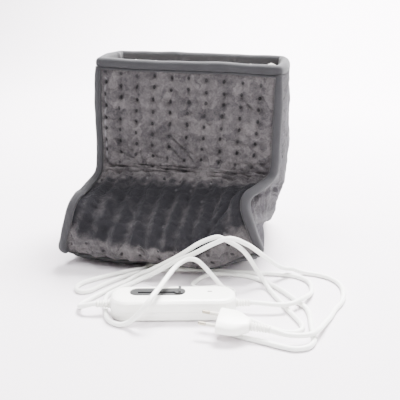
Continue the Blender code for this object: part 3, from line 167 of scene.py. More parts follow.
# Both routes are in tenths of a millimetre, and a place without a height lies on the floor.
MAINS_ROUTE = [
    (1750, -2330, 108), (1890, -2300, 100), (2010, -2225, 95), (2075, -2080, 80), (2120, -1890, 50),
    (2170, -1700, 30), (2210, -1520), (2270, -1340), (2285, -1174), (2270, -1000), (2210, -840), (2100, -730),
    (1950, -675), (1810, -665, 30), (1710, -685, 52), (1630, -730, 96), (1555, -795, 122), (1490, -865, 170),
    (1430, -930, 230), (1370, -985, 300), (1306, -1040, 372), (1225, -1095, 455), (1146, -1140, 529),
    (1093, -1190, 577), (997, -1260, 646), (910, -1310, 670), (735, -1340, 592), (616, -1354, 520),
    (491, -1354, 440), (275, -1354, 322), (161, -1360, 244), (44, -1365, 164), (-61, -1370, 99),
    (-151, -1380, 51), (-220, -1460, 30), (-339, -1678), (-415, -1876), (-380, -2044), (-310, -2170),
    (-235, -2329), (-140, -2432), (-15, -2470, 32), (90, -2460, 75), (170, -2455, 155), (235, -2440, 235),
    (285, -2390, 305), (310, -2290, 340), (325, -2160, 355), (335, -2000, 365), (340, -1840, 372),
    (355, -1650, 380), (390, -1500, 385), (460, -1430, 405), (560, -1425, 395), (650, -1440, 335),
    (730, -1470, 275), (810, -1505, 215), (900, -1540, 145), (980, -1535, 85), (1020, -1460, 45), (990, -1375),
    (900, -1330), (780, -1340), (680, -1385), (590, -1425), (515, -1410), (485, -1340), (505, -1230),
    (550, -1110), (610, -1020), (710, -970), (860, -945), (1050, -940), (1250, -1000), (1428, -1109),
    (1560, -1215), (1676, -1336), (1780, -1455), (1887, -1577), (1940, -1720), (1970, -1900), (2000, -2070),
    (2035, -2220), (2000, -2360), (1870, -2445), (1700, -2435), (1550, -2405), (1430, -2385), (1313, -2368),
    (1200, -2335), (1115, -2260), (1095, -2145), (1145, -2050), (1230, -2000), (1330, -2005), (1430, -2060),
    (1560, -2115), (1710, -2155), (1830, -2130), (1890, -2050), (1875, -1950), (1810, -1840), (1722, -1715),
    (1620, -1555), (1520, -1400), (1440, -1275), (1380, -1185, 45), (1305, -1135, 120), (1242, -1145, 218),
    (1193, -1160, 305), (1120, -1180, 425), (1037, -1205, 518), (893, -1228, 603), (771, -1235, 644),
    (651, -1250, 605), (533, -1278, 545), (384, -1288, 433), (229, -1288, 321), (113, -1292, 248),
    (8, -1298, 184), (-122, -1310, 111), (-236, -1330, 58), (-330, -1480, 30), (-425, -1660), (-505, -1845),
    (-575, -2010), (-615, -2145, 32), (-585, -2265, 60), (-495, -2303, 105),
]
HEATER_ROUTE = [
    (1470, -1752, 113), (1610, -1710, 99), (1740, -1625, 94), (1825, -1500, 94), (1880, -1360, 70),
    (1908, -1220, 38), (1910, -1100), (1885, -970), (1825, -865), (1720, -800), (1600, -778), (1430, -785),
    (1250, -810), (1060, -845), (850, -870), (560, -905), (360, -940), (180, -985), (20, -1035), (-120, -1095),
    (-250, -1185), (-370, -1305), (-480, -1460), (-560, -1600), (-620, -1730), (-680, -1840), (-770, -1875),
    (-850, -1815), (-860, -1700), (-790, -1575), (-690, -1460), (-580, -1345), (-460, -1230), (-360, -1150),
]


def laid(route):
    """The places of a route in metres."""
    return [np.array((*place, 28)[:3]) / 10000 for place in route]


def placed(own_frame, point):
    origin, turn = own_frame
    return np.array(origin + turn.to_matrix() @ Vector(point))


def curve_between(u, start, end, start_slope, end_slope):
    """Places on a smooth curve between two places with given slopes."""
    return (
        (2 * u**3 - 3 * u**2 + 1) * start + (u**3 - 2 * u**2 + u) * start_slope
        + (3 * u**2 - 2 * u**3) * end + (u**3 - u**2) * end_slope
    )


def smooth_route(points):
    """Evenly spaced places on a smooth line through the given ones, none of them below the floor."""
    points = np.array(points)
    knots = np.concatenate([[0], np.cumsum(np.linalg.norm(np.diff(points, axis=0), axis=1) ** 0.5)])
    slopes = np.gradient(points, knots, axis=0)
    line = []
    for i in range(len(points) - 1):
        step = knots[i + 1] - knots[i]
        for k in range(16):
            line.append(curve_between(k / 16, points[i], points[i + 1], step * slopes[i], step * slopes[i + 1]))
    line = np.array([*line, points[-1]])
    line[:, 2] = np.maximum(line[:, 2], CORD_RADIUS)
    along = np.concatenate([[0], np.cumsum(np.linalg.norm(np.diff(line, axis=0), axis=1))])
    stops = np.linspace(0, along[-1], round(along[-1] / CORD_STEP) + 1)
    return np.stack([np.interp(stops, along, line[:, k]) for k in range(3)], axis=1)


def soft_cord(name, places):
    curve = bpy.data.curves.new(name, "CURVE")
    curve.dimensions = "3D"
    spline = curve.splines.new("POLY")
    spline.points.add(len(places) - 1)
    for point, place in zip(spline.points, places):
        point.co = (*place, 1)
    spline.use_smooth = True
    curve.bevel_depth = CORD_RADIUS
    curve.bevel_resolution = 5
    curve.use_fill_caps = True
    return linked(name, curve)


def surface_group(name, inputs, outputs):
    """An empty shader group with the given sockets, and its input and output nodes."""
    group = bpy.data.node_groups.new(name, "ShaderNodeTree")
    for way, sockets in (("INPUT", inputs), ("OUTPUT", outputs)):
        for label, kind in sockets:
            group.interface.new_socket(label, in_out=way, socket_type="NodeSocket" + kind)
    return group, group.nodes.new("NodeGroupInput"), group.nodes.new("NodeGroupOutput")


def noise_value(tree, place, scale, detail, output="Fac", **more):
    inputs = [("Vector", place), ("Scale", scale), ("Detail", detail), *more.items()]
    return joined_node(tree, "TexNoise", inputs).outputs[output]


def ranged(tree, value, low, high, to_low=0.0, to_high=1.0):
    inputs = [("Value", value), ("From Min", low), ("From Max", high), ("To Min", to_low), ("To Max", to_high)]
    return joined_node(tree, "MapRange", inputs).outputs["Result"]


def worked(tree, operation, *values):
    """The result of a sum or the like, of two or three sockets or numbers."""
    return joined_node(tree, "Math", enumerate(values), operation=operation).outputs[0]


def surfaced(tree, shader, colour, height, bump, distance):
    """Links a shader's colour and its relief."""
    relief = joined_node(tree, "Bump", [("Height", height), ("Strength", bump), ("Distance", distance)])
    tree.links.new(colour, shader.inputs["Base Color"])
    tree.links.new(relief.outputs["Normal"], shader.inputs["Normal"])


def moulded_grain():
    """Moulded plastic: a faint uneven tone and a fine grain in the surface."""
    group, start, end = surface_group(
        "moulded_grain",
        [("Colour", "Color"), ("Worn Colour", "Color"), ("Grain Scale", "Float")],
        [("Colour", "Color"), ("Roughness", "Float"), ("Height", "Float")],
    )
    place = joined_node(group, "TexCoord").outputs["Object"]
    fine = noise_value(group, place, start.outputs["Grain Scale"], 2.0)
    tone = ranged(group, noise_value(group, place, 38.0, 3.0), 0.35, 0.7)
    colour = mixed(group, tone, start.outputs["Colour"], start.outputs["Worn Colour"])
    group.links.new(colour, end.inputs["Colour"])
    group.links.new(ranged(group, fine, 0.3, 0.7, 0.34, 0.5), end.inputs["Roughness"])
    group.links.new(fine, end.inputs["Height"])
    return group


GRAIN = moulded_grain()


def plastic(name, colour, worn, grain_scale=900.0, bump=0.03, coat=0.0, metallic=0.0):
    made, tree, shader = new_material(name, {"Metallic": metallic, "Coat Weight": coat})
    inputs = [("Colour", (*colour, 1)), ("Worn Colour", (*worn, 1)), ("Grain Scale", grain_scale)]
    grain = joined_node(tree, "Group", inputs, node_tree=GRAIN)
    tree.links.new(grain.outputs["Roughness"], shader.inputs["Roughness"])
    surfaced(tree, shader, grain.outputs["Colour"], grain.outputs["Height"], bump, 0.0005)
    return made


def dressed(piece, finish, slot, *replaced):
    """Gives a visible piece its material and its body, and hides the solids it stands for, or else the solid named
    by slot.
    """
    piece.data.materials.append(finish)
    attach(piece, "warmer")
    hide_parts(*(replaced or (slot,)))
    return piece


def painted(finishes):
    """Gives solids of the frame their materials."""
    for node, finish in finishes:
        nodes[node].data.materials.clear()
        nodes[node].data.materials.append(finish)


cord_plastic = plastic("cord_plastic", (0.84, 0.83, 0.81), (0.78, 0.77, 0.74), 500.0, 0.05)
# Places along the axis of each end of a cord: one inside its housing, the others in and past its sleeve.
case_ends = [
    [placed(CASE_FRAME, (way * x, 0, CASE_MIDDLE)) for x in (0.0505, 0.086, 0.0905, 0.072)] for way in (-1, 1)
]
plug_end = [placed(PLUG_FRAME, (x, 0, 0)) for x in (0.026, 0.056, 0.0605)]
boot_end = [placed(GLAND_FRAME, (0, 0, x)) for x in (0.0115, -0.010, -0.0145)]
mains_line = smooth_route([*plug_end[1:], *laid(MAINS_ROUTE), *case_ends[0][2:0:-1]])
heater_line = smooth_route([*case_ends[1][1:3], *laid(HEATER_ROUTE), *boot_end[:0:-1]])
mains_cord = dressed(
    soft_cord("mains_cord", [plug_end[0], *mains_line, case_ends[0][0]]), cord_plastic, "heater_cord",
    "mains_cord_outer_loops", "mains_cord_middle_loops", "mains_cord_inner_loops",
)
heater_cord = dressed(
    soft_cord("boot_cord", [case_ends[1][0], *heater_line, boot_end[0]]), cord_plastic, "heater_cord"
)

# The boot's pattern: its cloth is cut as front, two sides, back and sole, and sewn along four upright seams.
# Each seam is given at courses 0 to 11, from the rim to the floor edge, and every panel is laid between two of
# them. Courses 3 and 4 are the ankle, and 7 is the top of the toe, whose right corner has slumped inwards.
HALF_WIDTH = 0.138
HALF_DEPTH = 0.125
HEIGHT = 0.265
# Places on the seams are thousandths of these three sizes.
SEAMS = {
    "left": [
        (-818, -200, 943), (-833, -208, 774), (-833, -216, 619), (-830, -236, 481), (-826, -330, 402),
        (-830, -660, 362), (-852, -830, 345), (-876, -924, 300), (-905, -950, 232), (-943, -956, 166),
        (-967, -940, 108), (-955, -880, 62),
    ],
    "middle": [
        (50, -200, 936), (46, -210, 766), (43, -216, 611), (40, -232, 485), (36, -300, 426), (22, -480, 366),
        (10, -690, 300), (0, -870, 236), (-5, -960, 184), (-5, -1000, 138), (-5, -975, 94), (-5, -905, 58),
    ],
    "right": [
        (942, -200, 928), (945, -208, 774), (942, -216, 619), (938, -240, 486), (906, -304, 438),
        (822, -490, 412), (764, -600, 398), (742, -655, 366), (758, -690, 320), (812, -716, 250),
        (868, -720, 178), (906, -700, 128),
    ],
    "heel_left": [
        (-826, 480, 943), (-830, 540, 811), (-830, 612, 679), (-826, 684, 566), (-819, 728, 498),
        (-812, 776, 423), (-804, 824, 355), (-797, 864, 294), (-783, 906, 226), (-761, 932, 158), (-725, 926, 83),
        (-688, 880, 30),
    ],
    "heel_right": [
        (898, 480, 936), (898, 540, 804), (891, 612, 675), (884, 684, 562), (877, 728, 494), (862, 776, 419),
        (848, 824, 351), (826, 864, 291), (797, 906, 224), (761, 932, 156), (710, 926, 82), (652, 880, 30),
    ],
}
BULGES = {
    -1: (0.035, 0.04, 0.045, 0.045, 0.045, 0.045, 0.045, 0.045, 0.04, 0.035, 0.025, 0.015),
    1: (0.054, 0.065, 0.076, 0.084, 0.098, 0.130, 0.155, 0.155, 0.130, 0.092, 0.050, 0.022),
}
COURSES = 11
CLOTH_THICKNESS = 0.006
SEAM_INSET = 0.0022


def smooth_table(table, course):
    """Places on a smooth line through a table's points, for an array of course numbers."""
    slopes = np.gradient(table, axis=0)
    i = np.clip(np.floor(course).astype(int), 0, len(table) - 2)
    return curve_between((course - i)[..., None], table[i], table[i + 1], slopes[i], slopes[i + 1])


def seam_places(name, course):
    return smooth_table(np.array(SEAMS[name]) / 1000 * (HALF_WIDTH, HALF_DEPTH, HEIGHT), course)


def front_skin(across, course):
    """The front of the boot, where across runs from -1 at the left seam to 1 at the right seam."""
    middle = seam_places("middle", course)
    edge = np.where((across < 0)[..., None], seam_places("left", course), seam_places("right", course))
    far = np.abs(across)
    u = np.clip((far - 0.45) / 0.55, 0, 1)
    rise = u * u * (3 - 2 * u)
    return middle + (edge - middle) * np.stack([far, rise, rise], axis=-1)


def back_skin(across, course):
    left, right = seam_places("heel_left", course), seam_places("heel_right", course)
    places = left + (right - left) * ((across + 1) / 2)[..., None]
    places[..., 1] += 0.0081 * (1 - across**2)
    return places


def side_skin(side, back, course):
    front = seam_places("left" if side < 0 else "right", course)
    heel = seam_places("heel_left" if side < 0 else "heel_right", course)
    places = front + (heel - front) * back[..., None]
    swell = smooth_table(np.array(BULGES[side])[:, None] * HALF_WIDTH, course)[..., 0]
    places[..., 0] += side * swell * 4 * back * (1 - back)
    return places


def grid_normals(places, outward):
    """Unit normals of a grid of places, turned to the side of the outward direction."""
    across = np.gradient(places, axis=1)
    down = np.gradient(places, axis=0)
    normals = np.cross(across, down)
    normals /= np.linalg.norm(normals, axis=-1, keepdims=True) + 1e-12
    return normals if (normals * outward).sum() > 0 else -normals


def closed_up(mesh, weld=0.0):
    """Welds the points of a mesh that lie within a distance and turns its faces outwards."""
    bm = bmesh.new()
    bm.from_mesh(mesh)
    if weld:
        bmesh.ops.remove_doubles(bm, verts=bm.verts, dist=weld)
    bmesh.ops.recalc_face_normals(bm, faces=bm.faces)
    bm.to_mesh(mesh)
    bm.free()
    mesh.shade_smooth()


def cloth_body(name, outer, inner, maps=None):
    """A closed body of cloth from its outer and inner grids. maps are two face-corner coordinates for stitches."""
    rows, columns = outer.shape[:2]
    count = rows * columns
    places = np.concatenate([outer.reshape(-1, 3), inner.reshape(-1, 3)])
    j, i = np.meshgrid(np.arange(rows - 1), np.arange(columns - 1), indexing="ij")
    a = (j * columns + i).ravel()
    faces = np.stack([a, a + 1, a + columns + 1, a + columns], axis=1)
    spots = np.arange(count).reshape(rows, columns)
    ring = np.concatenate([spots[0, :-1], spots[:-1, -1], spots[-1, :0:-1], spots[:0:-1, 0]])
    after = np.roll(ring, -1)
    walls = np.stack([ring, after, after + count, ring + count], axis=1)
    mesh = bpy.data.meshes.new(name)
    mesh.from_pydata(places.tolist(), [], np.concatenate([faces, faces[:, ::-1] + count, walls]).tolist())
    closed_up(mesh)
    if maps is not None:
        layer = mesh.uv_layers.new(name="stitch_map")
        values = np.tile(maps.reshape(-1, 2), (2, 1))
        loops = np.zeros(len(mesh.loops), int)
        mesh.loops.foreach_get("vertex_index", loops)
        layer.uv.foreach_set("vector", values[loops].astype(np.float32).ravel())
    return linked(name, mesh)


def spread(down, across):
    """Two lists of values as a grid's: one value for each row, and one for each column."""
    return np.meshgrid(down, across, indexing="ij")


def cloth_grid(rows, columns, first, last):
    """Course numbers down a grid of cloth and shares across it."""
    return spread(np.linspace(0, COURSES, rows), np.linspace(first, last, columns))


def tufts(places, scale, depth):
    """Uneven swellings of soft cloth, from smooth noise of a given size."""
    values = np.array([noise.noise(Vector(p) * (1 / scale)) for p in places.reshape(-1, 3)])
    return values.reshape(places.shape[:-1]) * depth


def off_line(value):
    """How far a value is from the nearest whole number: 0 on it, and 1 halfway to the next."""
    return np.abs((value + 0.5) % 1 - 0.5) * 2


def hill(value, width):
    """1 where a value is 0, falling off to both sides."""
    return np.exp(-((value / width) ** 2))


def fading(value, width):
    """1 where a value is well below 0 and 0 where it is well above."""
    return 1 / (1 + np.exp(value / width))


def arc_length(places):
    """The distance down each column of a grid of places."""
    steps = np.linalg.norm(np.diff(places, axis=0), axis=-1)
    return np.concatenate([np.zeros((1, places.shape[1])), np.cumsum(steps, axis=0)])


def named_value(obj, name, values):
    """Stores a number for each point of a cloth's outer and inner grid, for its material to read."""
    layer = obj.data.attributes.new(name, "FLOAT", "POINT")
    layer.data.foreach_set("value", np.tile(values.ravel(), 2).astype(np.float32))


# The quilted front: one width of grey coral plush over wadding, machine quilted in eleven ribs. On the shaft the
# stitches pull it in at single points, and painted shade darkens the pile round each stitch, where it is also
# pressed down. On the foot the pile is brushed down and the channels run on to the toe. The foot's upward face is
# darker partly for its brushed nap and partly as painted shade, and each rib has a painted highlight past its
# channel.
RIBS = 11
RIB_PLACES = ((0.045, 0.0), (0.131, 1.0), (0.531, 5.0), (0.917, 9.0), (1.0, 9.86))
RIB_LEAN = (0.010, 0.027)
STITCH_START = (0.0064, 0.0082)
STITCH_PITCH = 0.0152
FRONT_WIDTH = 250
BACK_WIDTH = 230
PUFF = 0.0052
PUFF_SINK = 0.0017
# The third plush colour is pile brushed down on the foot and also painted shade: on the foot's upward face, across
# its ribs and round the stitches.
PLUSH_LIGHT = (0.130, 0.118, 0.121)
PLUSH_MID = (0.027, 0.0245, 0.0285)
PLUSH_NAP_AND_SHADE = (0.0102, 0.0096, 0.0124)
# The first stitch colour is painted shade in the pulled-in stitch dimples; the other two are pale thread.
STITCH_DIMPLE_SHADE = (0.014, 0.013, 0.015)
LIFTED_THREAD = (0.11, 0.106, 0.112)
PALE_THREAD = (0.16, 0.155, 0.165)
# The folds on the front: where each starts and ends, in millimetres across and down, its depth and its width.
FOLDS = (
    ((107, 84), (146, 126), 3.0, 2.0), ((106, 101), (128, 121), 2.4, 1.8), ((199, 28), (223, 48), 2.6, 1.8),
    ((224, 190), (190, 244), 3.2, 4.6), ((208, 176), (214, 262), 2.2, 5.0), ((18, 112), (60, 121), 2.0, 1.8),
    ((200, 118), (246, 112), 2.2, 2.2), ((24, 96), (60, 104), 1.4, 2.0), ((150, 60), (176, 78), 1.4, 2.4),
)


def plush_pile():
    """Plush cloth: pile that lies lighter or darker in patches, with fine tufts, and darker where asked, for pile
    brushed down and for painted shade.
    """
    group, start, end = surface_group(
        "plush_pile",
        [("Light Pile", "Color"), ("Mid Pile", "Color"), ("Nap And Shade Pile", "Color"), ("Nap And Shade", "Float"),
         ("Patch Scale", "Float")],
        [("Colour", "Color"), ("Height", "Float")],
    )
    place = joined_node(group, "TexCoord").outputs["Object"]
    drift = noise_value(group, place, 75.0, 3.0, "Color")
    moved = joined_node(
        group, "VectorMath", [(0, drift), (1, (0.016, 0.016, 0.016)), (2, place)], operation="MULTIPLY_ADD"
    )
    cells = joined_node(group, "TexVoronoi", [("Vector", moved.outputs[0]), ("Scale", start.outputs["Patch Scale"])])
    lay = joined_node(group, "SeparateColor", [(0, cells.outputs["Color"])])
    patches = noise_value(group, place, 95.0, 6.0, Roughness=0.72, Distortion=0.8)
    tuft = noise_value(group, place, 430.0, 5.0, Roughness=0.75)
    hair = noise_value(group, place, 1300.0, 2.0, Roughness=0.6)
    both = worked(group, "MULTIPLY_ADD", lay.outputs[0], 0.30, patches)
    blend = worked(group, "MULTIPLY_ADD", tuft, 0.75, both)
    pile = mixed(group, ranged(group, blend, 0.66, 1.44), start.outputs["Mid Pile"], start.outputs["Light Pile"])
    uneven = worked(group, "MULTIPLY_ADD", blend, -0.25, start.outputs["Nap And Shade"])
    colour = mixed(group, ranged(group, uneven, -0.20, 0.72), pile, start.outputs["Nap And Shade Pile"])
    height = worked(group, "MULTIPLY_ADD", hair, 0.35, tuft)
    group.links.new(colour, end.inputs["Colour"])
    group.links.new(worked(group, "MULTIPLY_ADD", patches, 0.8, height), end.inputs["Height"])
    return group


def stitch_marks():
    """Stitches from a map whose whole numbers are the stitch places: a mask that is 1 in each pulled-in stitch."""
    group, start, end = surface_group(
        "stitch_marks", [("Map", "Vector"), ("Width", "Float"), ("Length", "Float")], [("Mask", "Float")]
    )
    parts = joined_node(group, "SeparateXYZ", [(0, start.outputs["Map"])])
    squares = []
    for axis, size in (("X", "Width"), ("Y", "Length")):
        off = worked(group, "PINGPONG", parts.outputs[axis], 0.5)
        squares.append(worked(group, "POWER", worked(group, "DIVIDE", off, start.outputs[size]), 2.0))
    group.links.new(ranged(group, worked(group, "ADD", *squares), 0.35, 1.3, 1.0, 0.0), end.inputs["Mask"])
    return group


PILE = plush_pile()
STITCHES = stitch_marks()


def plush(name, light, mid, nap_and_shade, patch_scale=68.0, stitch=None, bump=0.9):
    """Plush with its nap and its painted shade, and with stitches if it is given their width and length on its
    stitch map.
    """
    made, tree, shader = new_material(name, {
        "Roughness": 0.95, "Specular IOR Level": 0.2, "Sheen Weight": 0.04, "Sheen Roughness": 0.5,
        "Sheen Tint": (0.85, 0.84, 0.88, 1),
    })
    nap_and_shade_mask = joined_node(tree, "Attribute", attribute_name="nap_and_shade").outputs["Fac"]
    inputs = [("Light Pile", (*light, 1)), ("Mid Pile", (*mid, 1)), ("Nap And Shade Pile", (*nap_and_shade, 1))]
    inputs += [("Patch Scale", patch_scale), ("Nap And Shade", nap_and_shade_mask)]
    pile = joined_node(tree, "Group", inputs, node_tree=PILE)
    colour = pile.outputs["Colour"]
    if stitch:
        shown, pinched = (
            joined_node(tree, "Attribute", attribute_name=label).outputs["Fac"] for label in ("stitched", "pinched")
        )
        where = joined_node(tree, "UVMap", uv_map="stitch_map").outputs["UV"]
        marks = joined_node(
            tree, "Group", [("Map", where), ("Width", stitch[0]), ("Length", stitch[1])], node_tree=STITCHES
        )
        # A stitch shows painted shade in its dimple where the pile is not darkened, and its pale thread where it is.
        thread_and_dimple_shade = mixed(tree, ranged(tree, nap_and_shade_mask, 0.3, 0.5), (*STITCH_DIMPLE_SHADE, 1), (*LIFTED_THREAD, 1))
        pale = mixed(tree, pinched, colour, (*PALE_THREAD, 1))
        colour = mixed(tree, worked(tree, "MULTIPLY", marks.outputs["Mask"], shown), pale, thread_and_dimple_shade)
    surfaced(tree, shader, colour, pile.outputs["Height"], bump, 0.0022)
    return made


def crumple(places, scale, depth):
    """Sharp little creases where the pile is crushed: the valleys of a smooth noise."""
    return (1 - np.clip(np.abs(tufts(places, scale, 1.0)) * 3.4, 0, 1)) ** 2 * -depth


def crease(across, down, start, end, depth, width):
    """The dent of one fold, along a line between two spots given as across and down in millimetres."""
    a, b = np.array(start, float), np.array(end, float)
    spot = np.stack([across, down], axis=-1) - a
    along = np.clip((spot @ (b - a)) / ((b - a) @ (b - a)), 0, 1)
    gap = np.linalg.norm(spot - along[..., None] * (b - a), axis=-1)
    fade = np.clip(4 * along * (1 - along) + 0.25, 0, 1)
    side = spot[..., 0] * (b - a)[1] - spot[..., 1] * (b - a)[0]
    lip = hill(gap - 1.6 * width, width) * (side > 0)
    return fade * depth * (0.5 * lip - hill(gap, width))


def quilted_front(name):
    reach = 1 - SEAM_INSET / HALF_WIDTH
    course, across = cloth_grid(240, 165, -reach, reach)
    places = front_skin(across, course)
    out = grid_normals(places, np.array((0, -1, 0.6)))
    down = arc_length(places)
    share = cloth_grid(240, 165, 0, 1)[1]
    mm_x, mm_y = share * FRONT_WIDTH, down * 1000
    flat = np.stack([mm_x, mm_y, 0 * mm_x], axis=-1)
    leaning = share + (RIB_LEAN[0] + RIB_LEAN[1] * share) * np.clip(course / 3.2, 0, 1)
    rib = np.interp(leaning, *np.array(RIB_PLACES).T) - np.clip(0.045 - leaning, 0, 1) / 0.086
    rib += tufts(flat, 26.0, 0.07)
    stitch = (down - STITCH_START[0] - STITCH_START[1] * share) / STITCH_PITCH + tufts(flat + 300, 24.0, 0.16)
    foot_start = 4.42 + tufts(flat + 700, 9.0, 0.38)
    shaft = fading(course - foot_start, 0.13)
    band_start = 8.75 - 0.45 * hill(across + 1, 0.12) + tufts(flat + 900, 13.0, 0.6)
    band = fading(band_start - course, 0.10)
    line = fading(course - 3.2, 0.2)
    from_channel, from_stitch = off_line(rib), off_line(stitch)
    pulled = hill(from_channel, 0.30)
    dotted = np.exp(-(np.hypot(from_channel / 0.36, from_stitch / 0.48) ** 1.3))
    rolled = hill(from_channel, 0.62)
    hollow = np.exp(-((from_channel / 0.75) ** 2) - (from_stitch / 0.9) ** 2)
    rise = 1 - line * (0.26 * pulled + 0.95 * dotted) - (1 - line) * (0.80 * rolled + 0.20 * dotted)
    ankle_zone = np.exp(-(((course - 3.75) / 0.42) ** 4))
    ruck = np.array([
        noise.noise(Vector((x * 0.020, y * 0.24, 3.1))) + 0.6 * noise.noise(Vector((x * 0.05, y * 0.45, 9.1)))
        for x, y in zip(mm_x.ravel(), mm_y.ravel())
    ]).reshape(mm_x.shape)
    depth = (PUFF * rise - PUFF_SINK) * (1 - 0.5 * ankle_zone)
    lumpy = 1 - 0.5 * (1 - shaft) * (1 - band)
    depth += lumpy * (tufts(places, 0.020, 0.0036) + tufts(places, 0.008, 0.0026) + crumple(places, 0.013, 0.0019))
    depth += ankle_zone * (0.0062 * ruck + 0.0002)
    for start, end, size, width in FOLDS:
        depth += crease(mm_x, mm_y, start, end, size / 1000, width)
    edge = np.minimum(share, 1 - share) * FRONT_WIDTH
    depth *= np.clip((edge - 3) / 8, 0, 1) ** 0.7
    depth *= np.clip((down - 0.003) / 0.011, 0, 1) ** 0.6
    depth *= np.clip((COURSES - course) / 0.5, 0, 1) ** 0.5
    outer = places + out * depth[..., None]
    inner = places - out * CLOTH_THICKNESS
    obj = cloth_body(name, outer, inner, np.stack([rib, stitch], axis=-1))
    # On the foot, painted shade falls across each rib, with a painted highlight just past each channel.
    after_channel = (rib + 0.5) % 1 - 0.5
    ridge = hill(after_channel - 0.22, 0.30) * np.clip((course - 4.9) / 1.1, 0.15, 1)
    ridge *= 0.8 + tufts(flat + 1100, 32.0, 0.7)
    fall = 1.05 - (0.30 + tufts(flat + 200, 9.0, 0.20)) * ridge + tufts(flat + 500, 14.0, 0.18)
    # The foot is darkened partly for its brushed nap and partly as painted shade on its upward face; on the shaft,
    # painted shade darkens the pressed pile round each stitch.
    dark = (1 - shaft) * (1 - band) * np.clip(fall, 0, 1.2) + line * (0.22 * dotted + 0.15 * hollow)
    between = (stitch % 1 - 0.45) / 0.30
    pinched = np.exp(-((rib * 24) ** 2) - between**4) * (course < 3.3) * (course > 0.3)
    named_value(obj, "pinched", pinched)
    named_value(obj, "nap_and_shade", dark)
    chance = np.array([
        noise.cell(Vector((a + 0.5, b + 0.5, 0.5))) for a, b in zip(rib.ravel(), stitch.ravel())
    ]).reshape(rib.shape)
    on_foot = (1 - shaft) * (1 - band)
    shown = np.where(on_foot > 0.5, 0.22 * (chance > 0.6), np.clip(0.9 + 0.25 * chance, 0, 1))
    shown = shown * (edge > 9) * (down > 0.006) * (1 - 0.8 * ankle_zone)
    named_value(obj, "stitched", shown)
    return obj


front = dressed(
    quilted_front("quilted_front"),
    plush("front_plush", PLUSH_LIGHT, PLUSH_MID, PLUSH_NAP_AND_SHADE, stitch=(0.085, 0.17)),
    "front_panel", "front_panel", "instep_panel",
)

# The two sides: the same plush and wadding, without ribs, cut to the boot's outline and sewn in at the seams. The
# right one bulges and wrinkles where the toe has slumped. The back is quilted like the front.
SIDE_LIGHT = (0.118, 0.110, 0.117)
SIDE_MID = (0.020, 0.0185, 0.021)
SIDE_NAP_AND_SHADE = (0.060, 0.054, 0.066)
# The hollows beside the slumped toe: course, share of the way back, height, width and depth of each.
HOLLOWS = (
    (6.5, 0.36, 0.28, 0.035, 0.0065), (7.1, 0.40, 0.12, 0.05, 0.003), (7.45, 0.22, 0.28, 0.03, 0.0025),
    (6.45, 0.10, 0.14, 0.06, 0.0028), (6.6, 0.035, 0.2, 0.03, 0.003),
)


def plain_side(name, side):
    course, back = cloth_grid(170, 120, 0.012, 0.988)
    places = side_skin(side, back, course)
    out = grid_normals(places, np.array((side, 0, 0)))
    depth = tufts(places, 0.020, 0.0018) + tufts(places, 0.007, 0.0008)
    if side > 0:
        seen = 21 * back + 68 * back * (1 - back)
        zone = np.clip((course - 5.6) / 0.9, 0, 1) * np.clip((8.7 - course) / 0.4, 0, 1)
        zone *= np.clip((0.68 - back) / 0.15, 0, 1)
        ridges = np.sin(2 * math.pi * seen / 4.3 + 5 * tufts(places, 0.030, 1.0)) + 0.7 * tufts(places, 0.006, 1.0)
        depth += zone * 0.0021 * ridges
        for c, b, tall, wide, size in HOLLOWS:
            depth -= size * np.exp(-(((course - c) / tall) ** 2) - ((back - b) / wide) ** 2)
        fold = 8.95 + 0.5 * np.clip((back - 0.08) / 0.3, 0, 1)
        tucked = fading(fold - course, 0.045)
        depth += 0.0022 * hill(course - fold + 0.28, 0.26) * np.clip(back / 0.05, 0, 1)
        depth -= 0.0075 * tucked * np.clip(back / 0.10, 0, 1) * np.clip((0.8 - back) / 0.2, 0, 1)
    else:
        depth += 0.0016 * np.sin(places[..., 2] * 140 + places[..., 1] * 30) * hill(course - 5, 2)
    edge = np.minimum(back, 1 - back) * 12
    depth *= np.clip(edge, 0, 1) * np.clip((COURSES - course) / 0.4, 0, 1) ** 0.5
    swell = 0.0022 * np.clip(edge, 0, 1) ** 0.5
    outer = places + out * (depth + swell)[..., None]
    inner = places - out * CLOTH_THICKNESS
    rows_down = arc_length(places) / STITCH_PITCH
    obj = cloth_body(name, outer, inner, np.stack([back * 7.1, rows_down], axis=-1))
    # Painted shade darkens the pile where it is tucked under the fold on the right; a random mottle darkens it in
    # spots.
    shade = tucked if side > 0 else np.zeros(course.shape)
    named_value(obj, "nap_and_shade", 0.75 * shade + np.clip(0.12 + tufts(places + 1.0, 0.010, 0.9), 0, 0.6))
    named_value(obj, "stitched", (np.abs(back - 0.14) < 0.06) & (course < 4.4) & (course > 0.5))
    return obj


def quilted_back(name):
    reach = 1 - SEAM_INSET / HALF_WIDTH
    course, across = cloth_grid(120, RIBS * 8 + 1, -reach, reach)
    places = back_skin(across, course)
    out = grid_normals(places, np.array((0, 1, 0)))
    down = arc_length(places)
    share = cloth_grid(120, RIBS * 8 + 1, 0, 1)[1]
    rib, stitch = share * RIBS, (down - 0.011) / STITCH_PITCH
    pulled = hill(off_line(rib), 0.34)
    dotted = hill(off_line(stitch), 0.42)
    depth = PUFF * (1 - pulled * (0.42 + 0.58 * dotted)) - PUFF_SINK
    depth += tufts(places, 0.016, 0.0012) + tufts(places, 0.006, 0.0007)
    edge = np.minimum(share, 1 - share) * BACK_WIDTH
    depth *= np.clip(edge / 6, 0, 1) ** 0.5
    outer = places + out * depth[..., None]
    inner = places - out * CLOTH_THICKNESS
    obj = cloth_body(name, outer, inner, np.stack([rib, stitch], axis=-1))
    # Painted shade darkens the pile round each stitch, where it is also pressed down.
    named_value(obj, "nap_and_shade", 0.22 * dotted)
    named_value(obj, "stitched", (edge > 9) & (down > 0.006))
    return obj


